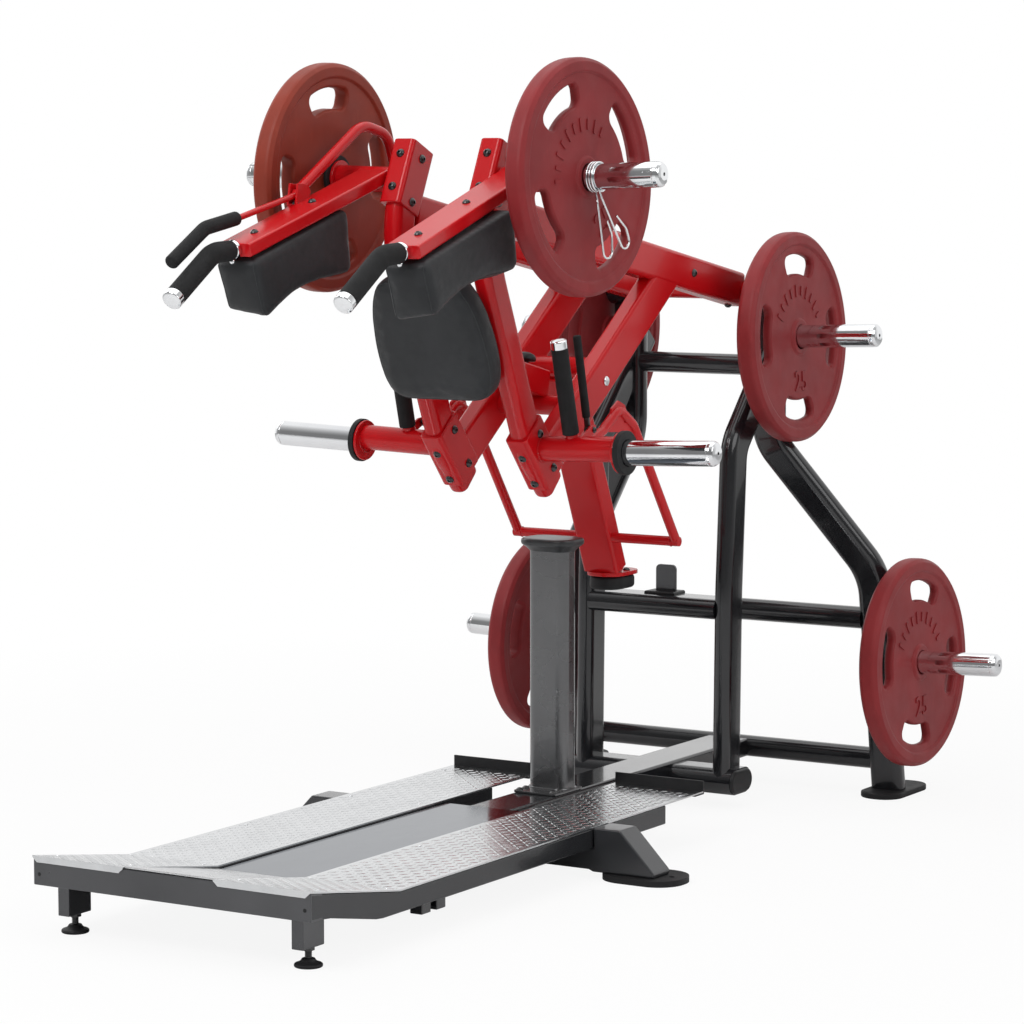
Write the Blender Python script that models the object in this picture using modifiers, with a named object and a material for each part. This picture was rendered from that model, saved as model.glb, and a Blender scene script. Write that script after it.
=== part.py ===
import bpy
import bmesh
import math
from mathutils import Matrix, Vector

for old in list(bpy.data.objects):
    bpy.data.objects.remove(old, do_unlink=True)

# Overall sizes, in metres. Y runs from the platform's front edge to the rear.
LENGTH = 2.266
GAP = 0.0003

# Platform
DECK_HALF = 0.301
DECK_TOP = 0.100
DECK_FRONT_TOP = 0.146
DECK_CREASE_Y = 0.277
DECK_REAR_Y = 1.395
DECK_SHEET = 0.003
DECK_LIP = 0.012
PANEL_HALF = 0.097
PANEL_TOP = 0.0946
PANEL_REAR_Y = 1.040
CHANNEL_BOTTOM = 0.092
CHANNEL_DEPTH = 0.034
RAIL_BOTTOM = 0.058
RAIL_REAR_Y = 1.240
RAIL_WIDTH = 0.038
LEG_X = DECK_HALF - 0.0465
LEG_Y = 0.061
LEG_BOTTOM = 0.035
FOOT_RADIUS = 0.025
STEM_RADIUS = 0.006
HEEL_TOP = 0.121
OUTRIGGER_Y = (0.950, 1.015)
OUTRIGGER_REACH = 0.434
FOOTPAD_TOP = 0.012

# Spine and post
BEAM_HALF = 0.050
BEAM_TOP = 0.091
BEAM_BOTTOM = 0.050
POST_Y = 1.300
POST_TOP = 0.585
POST_SIZE = (0.090, 0.060)
CAP_TOP = 0.612

# Rear frame
UPRIGHT_X = 0.169
UPRIGHT_SIZE = (0.040, 0.078)
UPRIGHT_PATH = ((1.742, 0.050), (1.749, 0.460), (1.768, 0.772), (1.990, 1.012))
COLUMN_SIZE = (0.075, 0.042)
COLUMN_PATH = (
    (0.172, 1.924, 1.100), (0.172, 1.924, 0.780), (0.374, 2.036, 0.486), (0.400, 2.066, 0.006))
PIVOT_Y = 1.910
PIVOT_Z = 1.100
SHAFT_RADIUS = 0.012
SLEEVE_RADIUS = 0.020
SLEEVE_HALF = 0.133
TOP_TUBE = (1.925, 0.938)
MID_TUBE = (1.755, 0.4265)
REAR_TUBE = (2.040, 0.387)
LOW_TUBE = (2.085, 0.072)
FOOT_TUBE = (1.750, 0.0572)
FOOT_SIZE = (0.100, 0.055)
HEAD_X = 0.172
ROUND_TUBE = 0.0225

# Weight horns and plates
HORN_RADIUS = 0.0245
HORN_TILT = math.radians(2.0)
PLATE_RADIUS = 0.225
PLATE_THICK = 0.043
PLATE_BORE = 0.0262
PLATE_SIDES = 24
RACK_TOP = (0.2125, 1.912, 1.002, 0.440)
RACK_LOW = (0.4445, 2.041, 0.2985, 0.668)
LOAD_HORN = (0.2665, 0.914, 1.344, 0.472)
FLANGE = 0.0440
STUB_RADIUS = 0.025
STUB_DROP = 0.005

# Lever
FRAME_X = 0.099
BEAM_SIZE = (0.042, 0.074)
BEAM_SLOPE = -0.178
STRUT_SIZE = (0.040, 0.080)
SIDE_SIZE = (0.038, 0.066)
SIDE_PATH = ((0.9405, 1.4065), (0.862, 1.235), (1.043, 0.818), (1.100, 0.754))
CROSS_LOW = (1.060, 0.815)
LOW_HORN_FACE = 0.3013
LOW_HORN_TIP = 0.511
FRAME_INSIDE = FRAME_X - 0.0203
TIE = (1.335, 0.956)
MAST_TOP = (1.335, 0.940)
MAST_FOOT = (1.515, 0.528)
BRACE_X = 0.190
BRACE_RADIUS = 0.010
BRACE_PATH = ((1.075, 0.812), (1.175, 0.846), (1.238, 0.886), (1.296, 0.850), (1.476, 0.600))
ARM_SIZE = (0.075, 0.026)
ARM_FRONT = (0.185, 0.465, 1.2119)
ARM_REAR = (0.1635, 0.898, 1.3480)
GRIP_X = 0.190
PAD_WIDTH = 0.098
PAD_X = 0.187
SEAM_DEPTH = 0.0016
BACK_PAD = (0.268, 0.262, 0.060)
BACK_CENTRE = (0.856, 1.038)
BACK_TILT = math.radians(22.4)
HOOP_X = -0.2185
HOOP_PATH = (
    (0.7145, 1.3175), (0.935, 1.448), (1.026, 1.428), (1.056, 1.352), (1.010, 1.334), (0.926, 1.342))
RELEASE_X = -0.210
RELEASE_AXIS = (0.701, 1.3125)
SQUEEZE_AXIS = (1.117, 0.852)

PART = bpy.data.collections.new("squat_machine")
CUTTERS = bpy.data.collections.new("cutters")
bpy.context.scene.collection.children.link(PART)
bpy.context.scene.collection.children.link(CUTTERS)


def empty(name, at, parent=None):
    """A bare axis point that carries the pieces of one moving group."""
    obj = bpy.data.objects.new(name, None)
    obj.empty_display_size = 0.05
    obj.location = at
    obj.parent = parent
    PART.objects.link(obj)
    return obj


ROOT = empty("squat_machine_root", (0.0, -LENGTH / 2, 0.0))
LEVER = empty("lever_axis", (0.0, PIVOT_Y, PIVOT_Z), ROOT)


def finish_of(name, colour, metallic, roughness):
    mat = bpy.data.materials.new(name)
    mat.use_nodes = True
    node = mat.node_tree.nodes["Principled BSDF"]
    node.inputs["Base Color"].default_value = (*colour, 1.0)
    node.inputs["Metallic"].default_value = metallic
    node.inputs["Roughness"].default_value = roughness
    return mat


LOOKS = {
    "red": ((0.55, 0.008, 0.012), 0.0, 0.25),
    "black": ((0.012, 0.012, 0.014), 0.0, 0.22),
    "graphite": ((0.060, 0.062, 0.066), 0.6, 0.38),
    "chrome": ((0.80, 0.80, 0.82), 1.0, 0.08),
    "aluminium": ((0.62, 0.63, 0.65), 1.0, 0.32),
    "rubber": ((0.020, 0.020, 0.021), 0.0, 0.80),
    "vinyl": ((0.035, 0.037, 0.040), 0.0, 0.55),
    "plate": ((0.27, 0.034, 0.037), 0.0, 0.60),
}


def solid(name, bm):
    """Turn a mesh under construction into a hidden working solid."""
    bmesh.ops.recalc_face_normals(bm, faces=bm.faces)
    mesh = bpy.data.meshes.new(name)
    bm.to_mesh(mesh)
    bm.free()
    obj = bpy.data.objects.new(name, mesh)
    obj.parent = ROOT
    obj.hide_render = True
    obj.display_type = "WIRE"
    CUTTERS.objects.link(obj)
    return obj


def keep(obj, name, look, origin=(0.0, 0.0, 0.0), carrier=None):
    """Make a working solid one named piece, with its origin where it turns or slides."""
    origin = Vector(origin)
    obj.data.transform(Matrix.Translation(-origin))
    obj.name = name
    obj.data.name = name
    CUTTERS.objects.unlink(obj)
    PART.objects.link(obj)
    obj.hide_render = False
    obj.display_type = "TEXTURED"
    base = carrier if carrier is not None else ROOT
    obj.parent = base
    obj.location = origin - (Vector((0.0, PIVOT_Y, PIVOT_Z)) if base is LEVER else Vector())
    colour, metallic, roughness = LOOKS[look]
    obj.data.materials.clear()
    obj.data.materials.append(finish_of(name, colour, metallic, roughness))
    return obj


def soften(obj, width, segments=2, angle=30.0):
    mod = obj.modifiers.new("soft_edges", "BEVEL")
    mod.width = width
    mod.segments = segments
    mod.limit_method = "ANGLE"
    mod.angle_limit = math.radians(angle)
    return obj


def combine(target, others, operation):
    for other in others:
        mod = target.modifiers.new(operation.lower(), "BOOLEAN")
        mod.operation = operation
        mod.solver = "EXACT"
        mod.object = other
    return target


def join(target, *others):
    return combine(target, others, "UNION")


def carve(target, *others):
    return combine(target, others, "DIFFERENCE")


def rounded(width, height, radius, steps=2):
    """A rectangle with round corners, as points in order."""
    radius = min(radius, width / 2 - 0.00005, height / 2 - 0.00005)
    points = []
    for k, (sx, sy) in enumerate(((1, 1), (-1, 1), (-1, -1), (1, -1))):
        cx = sx * (width / 2 - radius)
        cy = sy * (height / 2 - radius)
        for i in range(steps + 1):
            turn = math.pi / 2 * (k + i / steps)
            points.append((cx + radius * math.cos(turn), cy + radius * math.sin(turn)))
    return points


def rounded_path(points, radius, steps=4):
    """Replace the inner corners of a path by arcs."""
    points = [Vector(p) for p in points]
    radii = radius if isinstance(radius, (list, tuple)) else [radius] * (len(points) - 2)
    path = [points[0]]
    for i in range(1, len(points) - 1):
        here = points[i]
        back = (points[i - 1] - here).normalized()
        ahead = (points[i + 1] - here).normalized()
        half = back.angle(ahead) / 2
        reach = radii[i - 1] / math.tan(half)
        centre = here + (back + ahead).normalized() * (radii[i - 1] / math.sin(half))
        first = here + back * reach - centre
        axis = first.cross(here + ahead * reach - centre)
        for k in range(steps + 1):
            path.append(centre + Matrix.Rotation((math.pi - 2 * half) * k / steps, 3, axis) @ first)
    path.append(points[-1])
    return path


def sweep(name, path, section, side=(1.0, 0.0, 0.0), soft=0.0):
    """Loft a section along a path with mitred bends and eased ends. side is its width direction."""
    points = [Vector(p) for p in path]
    side = Vector(side)
    wide = max(abs(u) for u, v in section)
    high = max(abs(v) for u, v in section)
    stations = []
    for i, point in enumerate(points):
        before = (point - points[i - 1]).normalized() if i else (points[1] - point).normalized()
        after = (points[i + 1] - point).normalized() if i < len(points) - 1 else before
        stations.append((point, before, after, 1.0, 1.0))
    if soft > 0.0:
        small = (1 - soft / wide, 1 - soft / high)
        start, before, after, _, _ = stations[0]
        end, last, _, _, _ = stations[-1]
        stations[0:1] = [(start, after, after, *small), (start + after * soft, after, after, 1.0, 1.0)]
        stations[-1:] = [(end - last * soft, last, last, 1.0, 1.0), (end, last, last, *small)]
    bm = bmesh.new()
    rings = []
    for point, before, after, ku, kv in stations:
        along = (before + after).normalized()
        across = (side - along * side.dot(along)).normalized()
        up = along.cross(across)
        turn = after - before
        bend = (turn - along * turn.dot(along)).normalized() if turn.length > 1e-6 else None
        stretch = 1.0 / max(0.3, along.dot(after))
        loop = []
        for u, v in section:
            offset = across * (u * ku) + up * (v * kv)
            if bend is not None:
                offset += bend * (offset.dot(bend) * (stretch - 1.0))
            loop.append(bm.verts.new(point + offset))
        rings.append(loop)
    count = len(section)
    for low, high_ring in zip(rings, rings[1:]):
        for i in range(count):
            bm.faces.new((low[i], low[(i + 1) % count], high_ring[(i + 1) % count], high_ring[i]))
    bm.faces.new(rings[0][::-1])
    bm.faces.new(rings[-1])
    return solid(name, bm)


def baked(name, obj, placement):
    """Turn a curve, or a mesh with a modifier, into a closed working solid where it stands."""
    bpy.context.view_layer.update()
    mesh = bpy.data.meshes.new_from_object(obj.evaluated_get(bpy.context.evaluated_depsgraph_get()))
    mesh.transform(placement)
    bpy.data.objects.remove(obj, do_unlink=True)
    bm = bmesh.new()
    bm.from_mesh(mesh)
    bpy.data.meshes.remove(mesh)
    bmesh.ops.remove_doubles(bm, verts=bm.verts, dist=0.00001)
    bmesh.ops.dissolve_limit(bm, angle_limit=math.radians(0.1), verts=bm.verts, edges=bm.edges)
    return solid(name, bm)


def frame_at(origin, u, v, w):
    """The placement whose axes are u, v and w."""
    return Matrix.Translation(origin) @ Matrix((u, v, w)).transposed().to_4x4()


def rod(name, path, radius, count=12, soft=0.0):
    """A round bar along a path, with its ends eased by soft."""
    points = [(Vector(point), 1.0) for point in path]
    if soft > 0.0:
        start, second = points[0][0], points[1][0]
        end, last = points[-1][0], points[-2][0]
        tip = 1.0 - soft / radius
        points[0:1] = [(start, tip), (start + (second - start).normalized() * soft, 1.0)]
        points[-1:] = [(end + (last - end).normalized() * soft, 1.0), (end, tip)]
    curve = bpy.data.curves.new(name, "CURVE")
    curve.dimensions = "3D"
    curve.bevel_depth = radius
    curve.bevel_resolution = (count - 4) // 2
    curve.use_fill_caps = True
    spline = curve.splines.new("POLY")
    spline.points.add(len(points) - 1)
    for spot, (point, scale) in zip(spline.points, points):
        spot.co = (*point, 1.0)
        spot.radius = scale
    obj = bpy.data.objects.new(name, curve)
    CUTTERS.objects.link(obj)
    return baked(name, obj, Matrix.Identity(4))


def lathe(name, profile, base, axis, count=24, closed=False):
    """Turn a profile of (distance along the axis, radius) about an axis through base."""
    axis = Vector(axis).normalized()
    ref = Vector((0.0, 0.0, 1.0)) if abs(axis.z) < 0.9 else Vector((0.0, 1.0, 0.0))
    u = (ref - axis * ref.dot(axis)).normalized()
    mesh = bpy.data.meshes.new(name)
    links = [(i, i + 1) for i in range(len(profile) - 1)] + ([(len(profile) - 1, 0)] if closed else [])
    mesh.from_pydata([(r, 0.0, s) for s, r in profile], links, [])
    obj = bpy.data.objects.new(name, mesh)
    CUTTERS.objects.link(obj)
    turned = obj.modifiers.new("turned", "SCREW")
    turned.axis = "Z"
    turned.angle = math.tau
    turned.steps = count
    turned.render_steps = count
    turned.use_merge_vertices = True
    turned.merge_threshold = 0.00001
    return baked(name, obj, frame_at(Vector(base), u, axis.cross(u), axis))


def pin(name, base, axis, length, radius, count=24, soft=0.0):
    """A plain cylinder, or one with eased edges."""
    if soft > 0.0:
        profile = [(0.0, 0.0), (0.0, radius - soft), (soft, radius), (length - soft, radius),
                   (length, radius - soft), (length, 0.0)]
        return lathe(name, profile, base, axis, count)
    axis = Vector(axis).normalized()
    facing = axis.to_track_quat("Z", "Y").to_matrix().to_4x4()
    place = Matrix.Translation(Vector(base) + axis * length / 2) @ facing
    bm = bmesh.new()
    bmesh.ops.create_cone(bm, cap_ends=True, segments=count, radius1=radius, radius2=radius, depth=length,
                          matrix=place)
    return solid(name, bm)


PLANES = {
    "yz": ((0.0, 1.0, 0.0), (0.0, 0.0, 1.0), (1.0, 0.0, 0.0)),
    "xz": ((1.0, 0.0, 0.0), (0.0, 0.0, 1.0), (0.0, -1.0, 0.0)),
    "xy": ((1.0, 0.0, 0.0), (0.0, 1.0, 0.0), (0.0, 0.0, 1.0)),
}


def prism(name, outline, placement, low, high):
    """Give a flat outline thickness along its own third axis."""
    curve = bpy.data.curves.new(name, "CURVE")
    curve.dimensions = "2D"
    curve.fill_mode = "BOTH"
    curve.extrude = (high - low) / 2
    spline = curve.splines.new("POLY")
    spline.points.add(len(outline) - 1)
    for spot, (a, b) in zip(spline.points, outline):
        spot.co = (a, b, 0.0, 1.0)
    spline.use_cyclic_u = True
    obj = bpy.data.objects.new(name, curve)
    CUTTERS.objects.link(obj)
    return baked(name, obj, placement @ Matrix.Translation((0.0, 0.0, (low + high) / 2)))


def slab(name, outline, plane, low, high):
    """A flat outline drawn in a plane of the frame, thick from low to high across it."""
    if plane == "xz":
        low, high = -high, -low
    return prism(name, outline, frame_at(Vector(), *PLANES[plane]), low, high)


def block(name, low, high):
    bm = bmesh.new()
    size = Vector(high) - Vector(low)
    centre = (Vector(high) + Vector(low)) / 2
    bmesh.ops.create_cube(bm, size=1.0, matrix=Matrix.Translation(centre) @ Matrix.Diagonal((*size, 1.0)))
    return solid(name, bm)


def shifted(outline, dx, dy):
    return [(a + dx, b + dy) for a, b in outline]


def grown(size, amount=GAP):
    return tuple(value + 2 * amount for value in size)


def inset_outline(points, amount):
    """Move an outline inwards along its own corner normals."""
    count = len(points)
    area = sum(points[i][0] * points[(i + 1) % count][1] - points[(i + 1) % count][0] * points[i][1]
               for i in range(count))
    sign = 1.0 if area > 0 else -1.0
    result = []
    for i in range(count):
        ax, ay = points[i - 1]
        bx, by = points[(i + 1) % count]
        length = math.hypot(bx - ax, by - ay)
        result.append((points[i][0] - sign * amount * (by - ay) / length,
                       points[i][1] + sign * amount * (bx - ax) / length))
    return result


def even_outline(points, count):
    """The same closed outline with its points evenly spread."""
    total = []
    reach = 0.0
    for i in range(len(points)):
        a = Vector(points[i])
        b = Vector(points[(i + 1) % len(points)])
        total.append((reach, (b - a).length, a, b))
        reach += (b - a).length
    result = []
    for k in range(count):
        want = reach * k / count
        for start, length, a, b in total:
            if start <= want <= start + length:
                spot = a.lerp(b, (want - start) / length)
                result.append((spot.x, spot.y))
                break
    return result


def cushion(name, outline, thick, edge, crown, place):
    """An upholstered block: round edges, a crown on both faces and a seam drawn in round its sides."""
    half = thick / 2
    flat = half - edge
    sides = []
    for turn in (0.0, 30.0, 60.0, 90.0):
        a = math.radians(turn)
        sides.append((flat + edge * math.cos(a), edge * (1 - math.sin(a))))
    sides += [(flat / 2, -SEAM_DEPTH), (0.0, SEAM_DEPTH)]
    full = sides + [(-depth, inset) for depth, inset in sides[-2::-1]]
    cx = sum(a for a, b in outline) / len(outline)
    cy = sum(b for a, b in outline) / len(outline)
    bm = bmesh.new()
    rings = []
    for depth, inset in full:
        rings.append([bm.verts.new(place(a, b, depth)) for a, b in inset_outline(outline, inset)])
    count = len(outline)
    for low, high in zip(rings, rings[1:]):
        for i in range(count):
            bm.faces.new((low[i], low[(i + 1) % count], high[(i + 1) % count], high[i]))
    top_edge = inset_outline(outline, edge)
    for rim, sign in ((rings[0], 1.0), (rings[-1], -1.0)):
        inner = rim
        for scale, rise in ((0.80, 0.55), (0.40, 1.0)):
            depth = sign * (half + crown * rise)
            loop = [bm.verts.new(place(cx + (a - cx) * scale, cy + (b - cy) * scale, depth))
                    for a, b in top_edge]
            for i in range(count):
                bm.faces.new((inner[i], inner[(i + 1) % count], loop[(i + 1) % count], loop[i]))
            inner = loop
        bm.faces.new(inner)
    return solid(name, bm)


def yz(points, x=0.0):
    return [(x, y, z) for y, z in points]


# Platform frame: a C channel across the front, four rails, two legs
slope = (DECK_FRONT_TOP - DECK_TOP) / DECK_CREASE_Y
under = DECK_SHEET + GAP
face_y = DECK_SHEET + GAP


def deck_z(y, drop=0.0):
    return max(DECK_TOP, DECK_FRONT_TOP - slope * y) - drop


wall = 0.004
channel_rear = face_y + CHANNEL_DEPTH
channel = slab("channel", [
    (face_y, CHANNEL_BOTTOM), (channel_rear, CHANNEL_BOTTOM), (channel_rear, CHANNEL_BOTTOM + wall),
    (face_y + wall, CHANNEL_BOTTOM + wall), (face_y + wall, deck_z(face_y + wall, under + wall)),
    (channel_rear, deck_z(channel_rear, under + wall)), (channel_rear, deck_z(channel_rear, under)),
    (face_y, deck_z(face_y, under))], "yz", 0.0006 - DECK_HALF, DECK_HALF - 0.0006)
rest = under + 0.0002
rail_outline = [
    (face_y + 0.002, 0.098), (face_y + 0.002, deck_z(face_y + 0.002, rest)), (DECK_CREASE_Y, DECK_TOP - rest),
    (RAIL_REAR_Y, DECK_TOP - rest), (RAIL_REAR_Y, RAIL_BOTTOM), (0.225, RAIL_BOTTOM), (0.212, 0.0615)]
inner_outline = [
    (0.030, 0.100), (0.030, deck_z(0.030, rest)), (DECK_CREASE_Y, DECK_TOP - rest),
    (1.224, DECK_TOP - rest), (1.224, 0.070), (0.225, 0.070), (0.200, 0.076)]
members = []
for s in (1, -1):
    outer = sorted((s * (DECK_HALF - RAIL_WIDTH), s * DECK_HALF))
    inner = sorted((s * (PANEL_HALF + 0.0005), s * (PANEL_HALF + 0.018)))
    members.append(slab("rail", rail_outline, "yz", *outer))
    members.append(slab("edge_rail", inner_outline, "yz", *inner))
    members.append(block("leg", (s * LEG_X - 0.011, 0.030, LEG_BOTTOM), (s * LEG_X + 0.011, 0.092, 0.115)))
tie_bar = block("tie_bar", (0.01 - DECK_HALF, 0.560, 0.062), (DECK_HALF - 0.01, 0.600, 0.085))
bracket = block("bracket", (DECK_HALF - 0.041, 0.366, 0.036), (DECK_HALF - 0.011, 0.445, 0.060))
frame = join(channel, *members, tie_bar, bracket)
bores = [pin("stem_bore", (s * LEG_X, LEG_Y, LEG_BOTTOM - 0.01), (0, 0, 1), 0.066, STEM_RADIUS + 0.0006, 14)
         for s in (1, -1)]
carve(frame, *bores)
keep(frame, "platform_frame", "black")

for s, tag in ((1, "near"), (-1, "far")):
    foot = lathe("foot", [
        (0.0, 0.0), (0.0, FOOT_RADIUS - 0.002), (0.002, FOOT_RADIUS), (0.008, FOOT_RADIUS), (0.012, 0.018),
        (0.018, STEM_RADIUS + 0.004), (0.0220, STEM_RADIUS), (0.070, STEM_RADIUS), (0.070, 0.0)],
        (s * LEG_X, LEG_Y, 0.0), (0, 0, 1), 12)
    keep(foot, "levelling_foot_" + tag, "rubber", (s * LEG_X, LEG_Y, 0.0))

# Diamond-plate boards, folded over the channel at the front
board_outline = [
    (0.0, DECK_FRONT_TOP - DECK_LIP), (0.0, DECK_FRONT_TOP), (DECK_CREASE_Y, DECK_TOP),
    (DECK_REAR_Y, DECK_TOP), (DECK_REAR_Y, DECK_TOP - DECK_SHEET), (DECK_CREASE_Y, DECK_TOP - DECK_SHEET),
    (DECK_SHEET, deck_z(DECK_SHEET, DECK_SHEET)), (DECK_SHEET, DECK_FRONT_TOP - DECK_LIP)]
for s, tag in ((1, "near"), (-1, "far")):
    board = slab("board", board_outline, "yz", *sorted((s * (PANEL_HALF + 0.0005), s * DECK_HALF)))
    keep(board, "tread_board_" + tag, "aluminium")
    stop_outline = [
        (1.362, 0.0936), (DECK_REAR_Y + 0.0043, 0.0936), (DECK_REAR_Y + 0.0043, HEEL_TOP),
        (DECK_REAR_Y + GAP, HEEL_TOP), (DECK_REAR_Y + GAP, DECK_TOP - under), (1.362, DECK_TOP - under)]
    stop = slab("heel_stop", stop_outline, "yz", *sorted((s * 0.094, s * DECK_HALF)))
    keep(stop, "heel_stop_" + tag, "graphite")

panel_sheet = 0.003
panel_front = deck_z(face_y, under) + 0.0012
panel = slab("panel", [
    (face_y + 0.001, panel_front), (face_y + 0.001, panel_front + panel_sheet),
    (DECK_CREASE_Y, PANEL_TOP), (PANEL_REAR_Y, PANEL_TOP), (PANEL_REAR_Y, PANEL_TOP - panel_sheet),
    (DECK_CREASE_Y, PANEL_TOP - panel_sheet)], "yz", -PANEL_HALF, PANEL_HALF)
keep(panel, "centre_panel", "black")

# Outrigger: a cross member under the rails with two long foot plates
half_outline = [
    (OUTRIGGER_REACH, 0.010), (OUTRIGGER_REACH, 0.022), (0.360, 0.098), (DECK_HALF + GAP, 0.098),
    (DECK_HALF + GAP, RAIL_BOTTOM - GAP), (0.058, RAIL_BOTTOM - GAP), (0.058, BEAM_BOTTOM - GAP)]
mirrored = [(-a, b) for a, b in half_outline[::-1]]
low_line = [(-0.30, 0.010), (-0.29, 0.014), (0.29, 0.014), (0.30, 0.010)]
outrigger = slab("outrigger", low_line + half_outline + mirrored, "xz", *OUTRIGGER_Y)
pads = []
for s in (1, -1):
    outline = shifted(rounded(0.170, 0.120, 0.055, 3), s * 0.395, 0.990)
    pads.append(soften(slab("pad_plate", outline, "xy", 0.0, FOOTPAD_TOP), 0.002, 1))
join(outrigger, *pads)
keep(outrigger, "outrigger", "black")

# Spine beam and the front post that stands on it
spine = sweep("spine", [(0.0, 0.932, 0.0705), (0.0, LOW_TUBE[0], 0.0705)],
              rounded(2 * BEAM_HALF, BEAM_TOP - BEAM_BOTTOM, 0.004, 2))

post = sweep("post", [(0.0, POST_Y, 0.094), (0.0, POST_Y, POST_TOP)], rounded(*POST_SIZE, 0.022, 5))
plate_outline = shifted(rounded(0.100, 0.113, 0.006), 0.0, POST_Y - 0.0175)
foot_plate = slab("post_plate", plate_outline, "xy", BEAM_TOP + GAP, 0.096)
keep(join(post, foot_plate), "front_post", "graphite")
cap = sweep("cap", [(0.0, POST_Y, POST_TOP + GAP), (0.0, POST_Y, 0.600), (0.0, POST_Y, CAP_TOP)],
            rounded(0.118, 0.078, 0.026, 4), soft=0.004)
keep(cap, "post_cap", "rubber")


# Rear frame
def upright(s, amount=0.0):
    size = grown(UPRIGHT_SIZE, amount)
    path = rounded_path(yz(UPRIGHT_PATH, s * UPRIGHT_X), [1.2, 0.085], 3)
    return sweep("upright_form", path, rounded(*size, size[0] / 2, 2))


def column(s, amount=0.0):
    size = grown(COLUMN_SIZE, amount)
    path = rounded_path([(s * x, y, z) for x, y, z in COLUMN_PATH], [0.12, 0.16], 3)
    return sweep("column_form", path, rounded(*size, 0.018, 2))


def flat_tube(y, z, depth, height, half, amount=0.0):
    size = grown((depth, height), amount)
    section = rounded(*size, min(size) / 2, 3)
    return sweep("flat_tube", [(-half, y, z), (half, y, z)], section, (0.0, 1.0, 0.0))


def round_tube(spot, half, amount=0.0, radius=ROUND_TUBE):
    return pin("round_tube", (-half, *spot), (1, 0, 0), 2 * half, radius + amount, 16)


foot_tube = flat_tube(*FOOT_TUBE, *FOOT_SIZE, 0.199)
ends = [lathe("end_cap", [(0.0, 0.0), (0.0, 0.023), (0.004, 0.020), (0.006, 0.0)], (s * 0.198, *FOOT_TUBE),
              (s, 0, 0), 16) for s in (1, -1)]
join(foot_tube, *ends)
join(foot_tube, spine)
carve(foot_tube, pin("low_cut", (-0.3, *LOW_TUBE), (1, 0, 0), 0.6, ROUND_TUBE + 0.001 + GAP))
keep(foot_tube, "spine_and_foot_tube", "black")

for s, tag in ((1, "near"), (-1, "far")):
    column_top = COLUMN_PATH[0]
    behind = block("behind", (-0.3, column_top[1] - COLUMN_SIZE[1] / 2 - GAP, column_top[2] - 0.4),
                   (0.3, column_top[1] + 0.3, column_top[2] + 0.1))
    keep(carve(upright(s), flat_tube(*FOOT_TUBE, *FOOT_SIZE, 0.3, GAP), behind), "upright_" + tag, "black")
    body = column(s)
    head = pin("head", (s * (HEAD_X - 0.037), PIVOT_Y, PIVOT_Z), (s, 0, 0), 0.074, 0.036, 18, 0.003)
    foot_x, foot_y, _ = COLUMN_PATH[-1]
    outline = shifted(rounded(0.096, 0.200, 0.045, 3), s * (foot_x + 0.004), foot_y + 0.016)
    pad = soften(slab("column_pad", outline, "xy", 0.0, FOOTPAD_TOP), 0.002, 1)
    join(body, head, pad)
    carve(body, pin("shaft_bore", (-0.3, PIVOT_Y, PIVOT_Z), (1, 0, 0), 0.6, SHAFT_RADIUS + GAP, 16))
    keep(body, "rear_column_" + tag, "black")

keep(carve(round_tube(TOP_TUBE, 0.140), column(1, GAP), column(-1, GAP)), "top_cross_tube", "black")
mid = flat_tube(*MID_TUBE, 0.100, 0.043, 0.155)
base = block("tab_base", (-0.037, 1.745, 0.440), (0.037, 1.800, 0.4535))
tab = slab("tab", shifted(rounded(0.048, 0.080, 0.010), 0.0, 0.4690), "xz", 1.776, 1.784)
join(mid, soften(base, 0.002, 1), tab)
keep(carve(mid, upright(1, GAP), upright(-1, GAP)), "mid_cross_tube", "graphite")
keep(carve(round_tube(REAR_TUBE, 0.352, 0.0015), column(1, GAP), column(-1, GAP)), "rear_cross_tube", "black")
keep(carve(round_tube(LOW_TUBE, 0.368, 0.001), column(1, GAP), column(-1, GAP)), "low_cross_tube", "black")
shaft = pin("shaft", (-0.209, PIVOT_Y, PIVOT_Z), (1, 0, 0), 0.418, SHAFT_RADIUS, 16, 0.001)
keep(shaft, "pivot_shaft", "chrome", (0.0, PIVOT_Y, PIVOT_Z))


# Storage horns on the rear columns
def horn_axis(s):
    return Vector((s * math.cos(HORN_TILT), 0.0, math.sin(HORN_TILT)))


def horn(s, spec, back, flange):
    """A chrome sleeve that starts behind the plate's inner face and ends in a round cap."""
    face, y, z, tip = spec
    axis = horn_axis(s)
    length = (tip - face) / math.cos(HORN_TILT)
    profile = [(-back, 0.0), (-back, HORN_RADIUS)]
    if flange:
        profile += [(-flange - 0.0002, HORN_RADIUS), (-flange, FLANGE)]
        profile += [(-0.0006, FLANGE), (-0.0004, HORN_RADIUS)]
    profile += [(length - 0.008, HORN_RADIUS), (length - 0.002, HORN_RADIUS - 0.003),
                (length, HORN_RADIUS - 0.008), (length, 0.0)]
    return lathe("horn", profile, (s * face, y, z), axis, 16)


for s, tag in ((1, "near"), (-1, "far")):
    keep(carve(horn(s, RACK_TOP, 0.030, 0.0), column(s, GAP)), "rack_horn_top_" + tag, "chrome",
         (s * RACK_TOP[0], *RACK_TOP[1:3]))
    keep(carve(horn(s, RACK_LOW, 0.052, 0.008), column(s, GAP)), "rack_horn_low_" + tag, "chrome",
         (s * RACK_LOW[0], *RACK_LOW[1:3]))


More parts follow.
